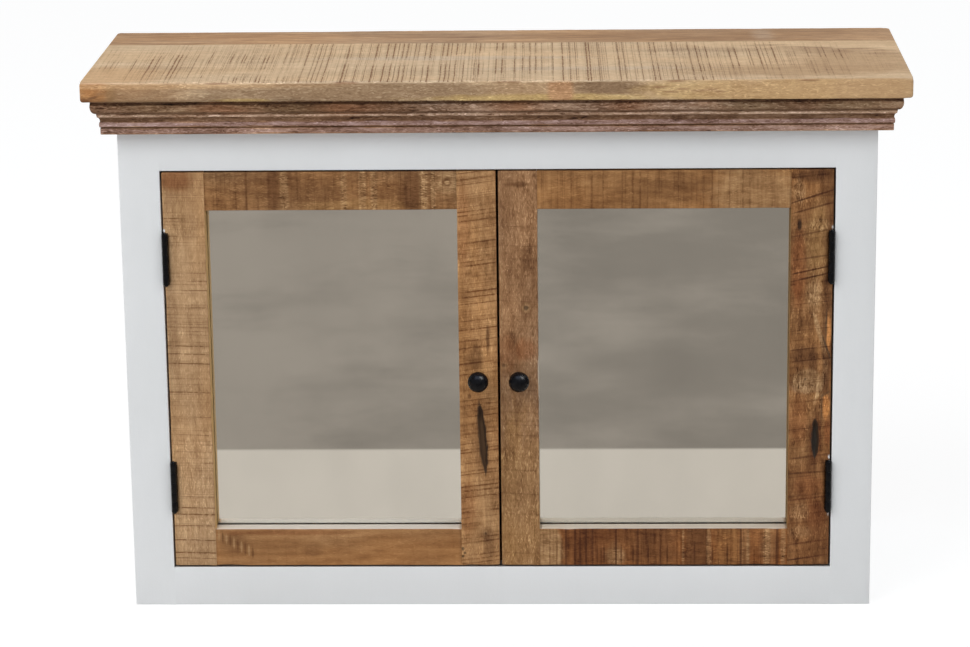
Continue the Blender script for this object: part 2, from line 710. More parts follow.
TOP_FRONT_LOOK = Look((0.702, 0.496, 0.295), 0.07, 0.0062, 0.0008, 0.016, 1.50, 0.24, 0.50, 0.25, 0.25)
TOP_BACK_LOOK = Look((0.505, 0.306, 0.164), 0.18, grain=0.5, fuzz=0.45, figure=1.0)
TOP_ARRIS = 0.0012
LEFT_WEAR = 0.0026
LEFT_WEAR_ENDS = -0.100
LEFT_WEAR_FADE = 0.120
TOP_CORNER = 0.0034
TOP_REAR_CORNER = 0.0070
TOP_REAR_STEPS = 6
TOP_STEP = 0.0050
TOP_CHIPS = 0.0036
TOP_RELIEF = 0.0003
TOP_ROWS = (0.0005, 0.0012, 0.0022, 0.0036)
TOP_THROUGH_STEP = 0.004
TOP_FACE_WAVES = (85.0, 12.0, 1.0)
TOP_EDGE_WAVES = (20.0, 1.0, 160.0)
SEAM_GAP = 0.0001
WORN_SWING = 0.9
WORN_WAVES = (75.0, 75.0, 75.0)
CHIP_WAVES = (34.0, 34.0, 34.0)
CHIP_STARTS = 0.15
SAWN_SHARP = math.radians(50)
STAIN_THROUGH = 0.020
EDGE_STAIN_THROUGH = 0.004
HONEY = (0.500, 0.310, 0.160)
ORANGE_BROWN = (0.400, 0.185, 0.070)
EDGE_ORANGE = (0.430, 0.185, 0.058)
EDGE_BROWN = (0.180, 0.072, 0.028)
GREY_BROWN = (0.268, 0.165, 0.090)
PEACH = (0.480, 0.260, 0.128)
CORNER_ORANGE = (0.640, 0.400, 0.205)
EDGE_HONEY = (0.550, 0.342, 0.160)
EDGE_TAN = (0.385, 0.220, 0.108)
BACK_BROWN = (0.380, 0.208, 0.098)
SAPWOOD = (0.560, 0.375, 0.140)
KNOT_BROWN = (0.330, 0.180, 0.090)
PALE = (0.660, 0.520, 0.390)
ARRIS_PALE = (0.960, 0.735, 0.490)
EDGE_SHADE = (0.170, 0.095, 0.045)
EDGE_UMBER = (0.285, 0.155, 0.062)


def noise_at(place, scales, seed):
    """Smooth noise about zero, with its own number of waves per metre on each axis."""
    return noise.noise(Vector([place[axis] * scales[axis] + seed for axis in range(3)]))


def sawn_relief(shape, axis, face, inward, scales, depth, seed):
    """Press the low waves that a blade leaves into one face of a board."""
    for corner in shape.verts:
        if abs(corner.co[axis] - face) < FLUSH:
            wave = 0.5 + 0.5 * noise_at(corner.co, scales, seed)
            corner.co[axis] += inward * depth * wave


def top_stain(x, y, wide, deep, colour, strength=0.6, **more):
    """A stain on the upper face of the top."""
    return Stain((x, y, top_high.z), (wide, deep, STAIN_THROUGH), colour, strength, **more)


def edge_stain(x, z, wide, tall, colour, strength=0.8, **more):
    """A stain on the front edge of the top."""
    return Stain((x, top_low.y, z), (wide, EDGE_STAIN_THROUGH, tall), colour, strength, **more)


top_low, top_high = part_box("top_front_board")
edge_middle = (top_low.z + top_high.z) / 2
front_stains = [
    top_stain(-0.425, -0.115, 0.060, 0.050, CORNER_ORANGE, 0.85),
    top_stain(-0.365, -0.070, 0.034, 0.010, KNOT_BROWN, 0.25),
    top_stain(0.250, 0.020, 0.090, 0.012, KNOT_BROWN, 0.35),
    top_stain(0.372, 0.012, 0.050, 0.020, KNOT_BROWN, 0.45),
    top_stain(0.385, 0.006, 0.012, 0.008, KNOT_BROWN, 0.60),
    *[top_stain(x, y, 0.022, 0.0035, KNOT_BROWN, 0.55, ragged=2.0)
      for x, y in ((0.300, 0.048), (0.335, 0.036), (0.362, 0.030), (0.400, 0.026), (0.424, 0.012),
                   (0.436, -0.006))],
    top_stain(0.340, -0.105, 0.120, 0.034, HONEY, 0.85),
    top_stain(0.400, -0.045, 0.070, 0.060, HONEY, 0.75),
    top_stain(-0.050, -0.020, 0.140, 0.012, PALE, 0.5),
    top_stain(0.100, -0.085, 0.120, 0.010, PALE, 0.4),
    edge_stain(-0.400, edge_middle, 0.066, 0.034, EDGE_TAN, 0.95, ragged=0.8),
    edge_stain(-0.436, edge_middle, 0.019, 0.024, EDGE_ORANGE, 0.85),
    edge_stain(-0.4155, edge_middle - 0.002, 0.0058, 0.0120, EDGE_UMBER, 0.70, ragged=1.2, softness=0.6),
    edge_stain(-0.4355, edge_middle - 0.0052, 0.0058, 0.0017, EDGE_BROWN, 0.80, ragged=1.2, lean=0.25),
    edge_stain(0.0, top_low.z - 0.001, 3.0, 0.0068, EDGE_SHADE, 0.50, ragged=0.6, softness=0.9),
    edge_stain(-0.160, edge_middle, 0.210, 0.016, GREY_BROWN, 0.80, ragged=1.6),
    edge_stain(0.060, edge_middle, 0.070, 0.034, HONEY, 0.50),
    edge_stain(0.125, edge_middle + 0.003, 0.046, 0.009, GREY_BROWN, 0.95, ragged=1.6),
    edge_stain(0.060, top_low.z + 0.003, 0.130, 0.004, SAPWOOD, 0.75),
    edge_stain(0.205, edge_middle, 0.045, 0.024, HONEY, 0.45),
    edge_stain(0.215, edge_middle, 0.055, 0.010, SAPWOOD, 0.45),
    edge_stain(-0.270, top_low.z + 0.001, 0.030, 0.003, SAPWOOD, 0.7),
    edge_stain(0.350, edge_middle, 0.130, 0.020, EDGE_HONEY, 0.9),
    edge_stain(0.415, edge_middle, 0.050, 0.034, HONEY, 0.60),
    edge_stain(-0.080, edge_middle, 0.380, 0.030, GREY_BROWN, 0.10, ragged=0.6, wool=0.65),
    edge_stain(0.071, edge_middle, 0.0135, 0.018, PEACH, 0.92, ragged=0.5, softness=0.25),
    edge_stain(-0.4455, top_low.z + 0.0015, 0.0070, 0.0034, EDGE_BROWN, 0.80, ragged=1.2),
    Stain((-0.150, top_low.y + 0.0014, top_high.z - 0.0006), (0.38, 0.0026, 0.0014), ARRIS_PALE, 0.48,
          ragged=1.6, softness=0.5),
    edge_stain(-0.370, top_high.z - 0.0040, 0.150, 0.0030, CORNER_ORANGE, 0.60, ragged=0.8, softness=0.8),
    *[edge_stain(x, top_high.z - 0.0015, wide, 0.0013, KNOT_BROWN, 0.75, ragged=1.8)
      for x, wide in ((-0.300, 0.016), (-0.160, 0.012), (0.012, 0.014), (0.196, 0.010), (0.337, 0.013))],
    *[edge_stain(x, edge_middle + lift, 0.007, 0.0012, KNOT_BROWN, 0.65, ragged=2.0)
      for x, lift in ((0.178, 0.003), (0.190, -0.002), (0.204, 0.001), (0.219, -0.001), (0.232, 0.000),
                      (0.243, -0.002))],
]
blade_field = Stain((-0.025, -0.045, top_high.z), (0.425, 0.155, 0.050), None, 1.0,
                    ragged=0.5, softness=0.22)
sawn_top_front = wooden("sawn_top_front", "X", "Z", (top_low, top_high), TOP_FRONT_LOOK, 21.7, front_stains,
                        lines_within=blade_field)[0]

back_low, back_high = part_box("top_back_board")
back_stains = [
    top_stain(-0.330, 0.115, 0.110, 0.016, ORANGE_BROWN, 0.25),
    top_stain(0.020, 0.110, 0.160, 0.014, KNOT_BROWN, 0.25),
    top_stain(0.260, 0.120, 0.170, 0.040, BACK_BROWN, 0.6),
    top_stain(0.302, 0.116, 0.011, 0.030, PALE, 0.30, ragged=2.0, softness=0.7),
]
sawn_top_back = wooden("sawn_top_back", "X", "Z", (back_low, back_high), TOP_BACK_LOOK, 34.2, back_stains)[0]
seam = (top_high.y + back_low.y) / 2
seam_lean = (top_high.y - back_low.y) / 2


def chipped(base, chips, seed):
    """A round for an arris that is worn unevenly, with a chip here and there."""
    def radius(place):
        wear = 0.5 + 0.5 * noise_at(place, WORN_WAVES, seed)
        chip = max(0.0, noise_at(place, CHIP_WAVES, seed + 5.0) - CHIP_STARTS)
        return base * (1.0 - WORN_SWING / 2 + WORN_SWING * wear) + chips * chip
    return radius


def top_board(name, node, low, high, rear, material, seed):
    """One board of the top, with worn arrises and corners, and a square edge at the seam."""
    shape = block(low, high)
    if rear:
        corners = [edge for edge in shape.edges if all(end.co.y > high.y - FLUSH for end in edge.verts)
                   and abs(edge.verts[0].co.x - edge.verts[1].co.x) < FLUSH]
        rounded(shape, corners, TOP_REAR_CORNER, TOP_REAR_STEPS)
    cut_at(shape, 2, spaced(low.z, high.z, TOP_THROUGH_STEP, TOP_ROWS))
    cut_at(shape, 1, spaced(low.y, high.y, TOP_STEP, TOP_ROWS))
    cut_at(shape, 0, spaced(low.x, high.x, TOP_STEP, TOP_ROWS))
    worn = chipped(TOP_ARRIS, TOP_CHIPS, seed)
    edge = high.y if rear else low.y

    def top_round(place):
        """A worn arris along the edge, a plain one at the ends, and a rounder one at the two corners."""
        from_end = min(place.x - low.x, high.x - place.x)
        from_edge = abs(place.y - edge)
        if max(from_end, from_edge) < 2 * TOP_CORNER:
            return TOP_CORNER
        left_share = min(1.0, max(0.0, (LEFT_WEAR_ENDS - place.x) / LEFT_WEAR_FADE))
        return worn(place) + LEFT_WEAR * left_share if from_edge < 2 * TOP_CORNER else TOP_ARRIS

    past_seam = Vector((0.0, 1.0, 0.0))
    soften(shape, low - past_seam if rear else low, high if rear else high + past_seam, top_round)
    sawn_relief(shape, 2, high.z, -1, TOP_FACE_WAVES, TOP_RELIEF, seed)
    sawn_relief(shape, 1, edge, -1 if rear else 1, TOP_EDGE_WAVES, TOP_RELIEF, seed + 2.0)
    for corner in shape.verts:
        share = abs(corner.co.y - edge) / abs(high.y - low.y)
        corner.co.y += seam_lean * share * corner.co.x / high.x
    settle(name, shape, material, "cabinet", [node], SAWN_SHARP)


top_board("top_front_plank", "top_front_board", top_low, Vector((top_high.x, seam - SEAM_GAP, top_high.z)),
          False, sawn_top_front, 11.0)
top_board("top_back_plank", "top_back_board", Vector((back_low.x, seam + SEAM_GAP, back_low.z)), back_high,
          True, sawn_top_back, 17.0)


# Cornice
# Lengths of mango moulding, run on a spindle and mitred round the front corners under the top.
# From its top it has a crown, an ovolo, a fillet, a cove, a bead, a quirk and a rounded foot.

CORNICE_PROJECTION = 0.025
CORNICE_CROWN = 0.0057
CROWN_LEAN = 0.0006
OVOLO_DROP = 0.0090
OVOLO_INSET = 0.0059
FILLET_DROP = 0.0042
FILLET_INSET = 0.0008
COVE_DROP = 0.0053
COVE_INSET = 0.0028
BEAD_HEIGHT = 0.0063
BEAD_BULGE = 0.0011
QUIRK_HEIGHT = 0.0012
QUIRK_DEPTH = 0.0010
FOOT_HEIGHT = 0.0069
FOOT_ROUND = 0.0012
MOULDING_STEPS = 10
CORNICE_STEP = 0.006
CORNICE_GAP = 0.0002
MOULDING_WEAR = 0.00025
MOULDING_WAVES = (55.0, 55.0, 160.0)
PATCH_DROP = 0.009
PATCH_DEPTH = 0.060
PATCH_HEIGHT = 0.012
BAND_REACH = 3.0
CORNICE_LOOK = Look((0.322, 0.176, 0.098), 0.34, grain=1.6, fuzz=1.9, figure=1.5)
CORNICE_RED = (0.290, 0.115, 0.050)
CORNICE_UMBER = (0.150, 0.075, 0.038)
CORNICE_MAUVE = (0.330, 0.205, 0.175)
CORNICE_OLIVE = (0.225, 0.150, 0.078)
CORNICE_FILLET = (0.520, 0.335, 0.225)
CORNICE_DIRT = (0.062, 0.024, 0.008)
CORNICE_GREY = (0.470, 0.325, 0.230)


def quarter(steps):
    """Angles from nothing to a right angle."""
    return [math.pi / 2 * step / steps for step in range(steps + 1)]


def cornice_profile():
    """The moulding's section as (projection from the box, drop below the top), top to bottom."""
    arc = [(math.sin(turn), math.cos(turn)) for turn in quarter(MOULDING_STEPS)]
    out, drop = CORNICE_PROJECTION, CORNICE_CROWN
    points = [(out - CROWN_LEAN * (1 - sine), drop * sine) for sine, _ in arc[:-1]]
    points += [(out - OVOLO_INSET * (1 - cosine), drop + OVOLO_DROP * sine) for sine, cosine in arc]
    out, drop = out - OVOLO_INSET - FILLET_INSET, drop + OVOLO_DROP + FILLET_DROP
    points += [(out - COVE_INSET * sine, drop + COVE_DROP * (1 - cosine)) for sine, cosine in arc]
    out, drop = out - COVE_INSET, drop + COVE_DROP
    points += [(out + 2 * BEAD_BULGE * sine * cosine, drop + BEAD_HEIGHT * sine ** 2)
               for sine, cosine in arc[1:]]
    drop += BEAD_HEIGHT
    points.append((out - QUIRK_DEPTH, drop + QUIRK_HEIGHT / 2))
    drop += QUIRK_HEIGHT
    points.append((out, drop))
    drop += FOOT_HEIGHT - FOOT_ROUND
    points += [(out - FOOT_ROUND * (1 - cosine), drop + FOOT_ROUND * sine) for sine, cosine in arc[::3]]
    return points + [(CORNICE_GAP, drop + FOOT_ROUND), (CORNICE_GAP, 0.0)]


cornice_low, cornice_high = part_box("cornice_front")
body_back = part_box("side_left")[1].y
fillet_top = cornice_high.z - CORNICE_CROWN - OVOLO_DROP
cove_top = fillet_top - FILLET_DROP
bead_top = cove_top - COVE_DROP
quirk_top = bead_top - BEAD_HEIGHT


def cornice_wood(name, along, seed, patches):
    """Moulded mango: brown with red patches, pale on its worn fillet, with a mauve bloom below."""
    bands = ((cornice_high.z - 0.0028, 0.0016, CORNICE_DIRT, 0.80),
             (fillet_top + 0.0006, 0.0016, CORNICE_UMBER, 0.75),
             (cove_top + 0.0012, 0.0013, CORNICE_FILLET, 0.85),
             (cove_top - COVE_DROP * 0.60, 0.0030, CORNICE_UMBER, 0.80),
             (bead_top - BEAD_HEIGHT * 0.50, 0.0022, CORNICE_MAUVE, 0.85),
             (quirk_top - QUIRK_HEIGHT * 0.4, 0.0012, CORNICE_UMBER, 0.85),
             (cornice_low.z + FOOT_HEIGHT * 0.55, 0.0025, CORNICE_MAUVE, 0.60))
    middle = cornice_high.z - PATCH_DROP
    stains = [Stain((x, y, middle), (wide, PATCH_DEPTH, PATCH_HEIGHT), colour, strength, 1.6, 0.6)
              for x, y, wide, colour, strength in patches]
    stains += [Stain((0.0, 0.0, height), (BAND_REACH, BAND_REACH, half), colour, strength, 1.6, 0.35)
               for height, half, colour, strength in bands]
    return wooden(name, along, "Z", (cornice_low, cornice_high), CORNICE_LOOK, seed, stains)[0]


def cornice_length(side, along, start, end, material, seed):
    """A length of moulding between two end cuts, each a function from a projection to an x, y point."""
    shape = bmesh.new()
    profile = cornice_profile()
    ends = []
    for end_cut in (start, end):
        ring = [shape.verts.new((*end_cut(out), cornice_high.z - drop)) for out, drop in profile]
        ends.append(shape.faces.new(ring))
    bmesh.ops.bridge_loops(shape, edges=list(ends[0].edges) + list(ends[1].edges))
    bmesh.ops.recalc_face_normals(shape, faces=shape.faces)
    places = [corner.co[along] for corner in shape.verts]
    cut_at(shape, along, spaced(min(places), max(places), CORNICE_STEP))
    shape.normal_update()
    nudges = {}
    for corner in shape.verts:
        wear = noise_at(corner.co, MOULDING_WAVES, seed)
        inside = cornice_low.z + FLUSH < corner.co.z < cornice_high.z - FLUSH
        nudges[corner] = MOULDING_WEAR * min(0.0, wear) * inside
    for corner, nudge in nudges.items():
        corner.co += Vector((corner.normal.x, corner.normal.y, 0.0)) * nudge
    bmesh.ops.dissolve_degenerate(shape, edges=shape.edges, dist=FLUSH)
    settle(f"cornice_{side}_moulding", shape, material, "cabinet", [f"cornice_{side}"])


front_patches = [(x, body_front, wide, colour, 0.50) for x, wide, colour in (
    (-0.425, 0.034, CORNICE_UMBER), (-0.352, 0.050, CORNICE_OLIVE), (-0.290, 0.036, CORNICE_RED),
    (-0.225, 0.052, CORNICE_OLIVE), (-0.160, 0.034, CORNICE_RED), (-0.108, 0.046, CORNICE_UMBER),
    (-0.035, 0.056, CORNICE_GREY), (0.022, 0.030, CORNICE_RED), (0.090, 0.060, CORNICE_GREY),
    (0.148, 0.030, CORNICE_RED), (0.205, 0.054, CORNICE_GREY), (0.276, 0.046, CORNICE_OLIVE),
    (0.338, 0.034, CORNICE_UMBER), (0.402, 0.048, CORNICE_OLIVE))]
front_wood = cornice_wood("cornice_front_wood", "X", 41.3, front_patches)
cornice_length("front", 0, lambda out: (-half_body - out, body_front - out),
               lambda out: (half_body + out, body_front - out), front_wood, 2.0)
for side, sign, seed in (("left", -1, 45.9), ("right", 1, 52.6)):
    side_wood = cornice_wood(f"cornice_{side}_wood", "Y", seed,
                             [(sign * half_body, 0.04, 0.06, CORNICE_RED, 0.5)])
    cornice_length(side, 1, lambda out, sign=sign: (sign * (half_body + out), body_front - out),
                   lambda out, sign=sign: (sign * (half_body + out), body_back), side_wood, seed)


# Door frames
# Stiles and rails of rough-sawn mango, mortised together, with a rabbet behind for the mirror.
# Each board came from another log, so each has its own tone, blade marks, knots and bark pockets.

DOOR_ARRIS = 0.0012
DOOR_STEP = 0.0040
DOOR_CHIPS = 0.0035
DOOR_RELIEF = 0.00028
DOOR_ROWS = (0.0005, 0.0012, 0.0022)
WAVES_ALONG = 95.0
WAVES_ACROSS = 10.0
JOINT_REACH = 0.004
POCKET_STEP = 0.0012
POCKET_FACE = 0.001
POCKET_STAIN_FADES = 0.008
POCKET_STAIN_ENDS = 0.012
RECESS_MARGIN = 0.0010
PLANED_STRENGTH = 0.85
PLANED_FADES = 0.0005
PLANED_ENDS = 0.0012
PLANED_STARTS = 0.0006
PLANED_FULL = 0.0016
DOOR_STAIN_THROUGH = 0.050
STREAK_HALF_HEIGHT = 0.034
RUST = (0.250, 0.085, 0.026)
UMBER = (0.135, 0.054, 0.018)
WINE = (0.080, 0.024, 0.007)
RED_WINE = (0.135, 0.040, 0.010)
AMBER = (0.385, 0.190, 0.050)
BARK = (0.034, 0.018, 0.009)
BARK_BROWN = (0.080, 0.042, 0.020)
BARK_GREY = (0.034, 0.027, 0.021)
TAN = (0.400, 0.232, 0.104)
LIGHT_TAN = (0.540, 0.345, 0.190)
GOLD = (0.430, 0.240, 0.085)
SAP_ORANGE = (0.520, 0.210, 0.060)
SILL_PALE = (0.980, 0.900, 0.780)
SILL_TAN = (0.850, 0.750, 0.610)
PLANED_GOLD = (0.900, 0.560, 0.220)
PLANED_TAN = (0.560, 0.350, 0.175)
Pocket = namedtuple("Pocket", "x z half_length half_width lean depth colour")

door_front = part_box("left_door_hinge_stile")[0].y
glass_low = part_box("left_door_bottom_rail")[1].z
glass_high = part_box("left_door_top_rail")[0].z


def door_stain(x, z, wide, tall, colour, strength=0.6, **more):
    """A stain on a door board, right through it."""
    return Stain((x, door_front, z), (wide, DOOR_STAIN_THROUGH, tall), colour, strength, **more)


def streaks(z, across):
    """Streaks straight across a rail, from (x, half width, colour). The tan ones are torn up."""
    return [door_stain(x, z, half, STREAK_HALF_HEIGHT, colour, 0.38 if colour == TAN else 0.75,
                       ragged=0.6, softness=0.35, wool=1.5 if colour == TAN else 0.0)
            for x, half, colour in across]


def knot(x, z, radius):
    """A pin knot: a ring of twisted brown grain round a small dark heart."""
    return [door_stain(x, z, 2.6 * radius, 3.4 * radius, UMBER, 0.50, ragged=1.8, softness=0.6),
            door_stain(x, z, 1.5 * radius, 1.6 * radius, TAN, 0.55, ragged=1.0, softness=0.4),
            door_stain(x, z, 0.8 * radius, 0.8 * radius, BARK_BROWN, 0.85, ragged=2.2, softness=0.5)]


board_looks = {
    "left_door_hinge_stile":
        Look((0.478, 0.284, 0.138), 0.14, 0.0105, 0.0010, 0.02, 1.0, 0.40, 0.7, 0.5, 0.7),
    "left_door_meeting_stile":
        Look((0.426, 0.222, 0.089), 0.24, 0.0062, 0.0012, -0.13, 1.0, 0.3, 1.0, 0.9, 1.3),
    "left_door_top_rail":
        Look((0.275, 0.138, 0.055), 0.26, 0.0120, 0.0016, 0.0, 0.60, 0.35, 1.3, 1.0, 1.4),
    "left_door_bottom_rail":
        Look((0.392, 0.195, 0.075), 0.18, 0.0150, 0.0010, 0.05, 0.15, 0.35, 0.5, 0.8, 0.2),
    "right_door_meeting_stile":
        Look((0.288, 0.156, 0.077), 0.24, 0.0170, 0.0012, 0.05, 0.45, 0.25, 1.6, 1.2, 0.4),
    "right_door_top_rail":
        Look((0.326, 0.152, 0.052), 0.22, 0.0110, 0.0014, 0.0, 0.60, 0.35, 0.8, 0.9, 1.2),
    "right_door_bottom_rail":
        Look((0.258, 0.097, 0.028), 0.26, 0.0080, 0.0018, 0.0, 0.80, 0.35, 1.1, 1.0, 1.9),
    "right_door_hinge_stile":
        Look((0.262, 0.116, 0.039), 0.36, 0.0110, 0.0013, -0.11, 0.9, 0.3, 1.7, 1.6, 1.3),
}
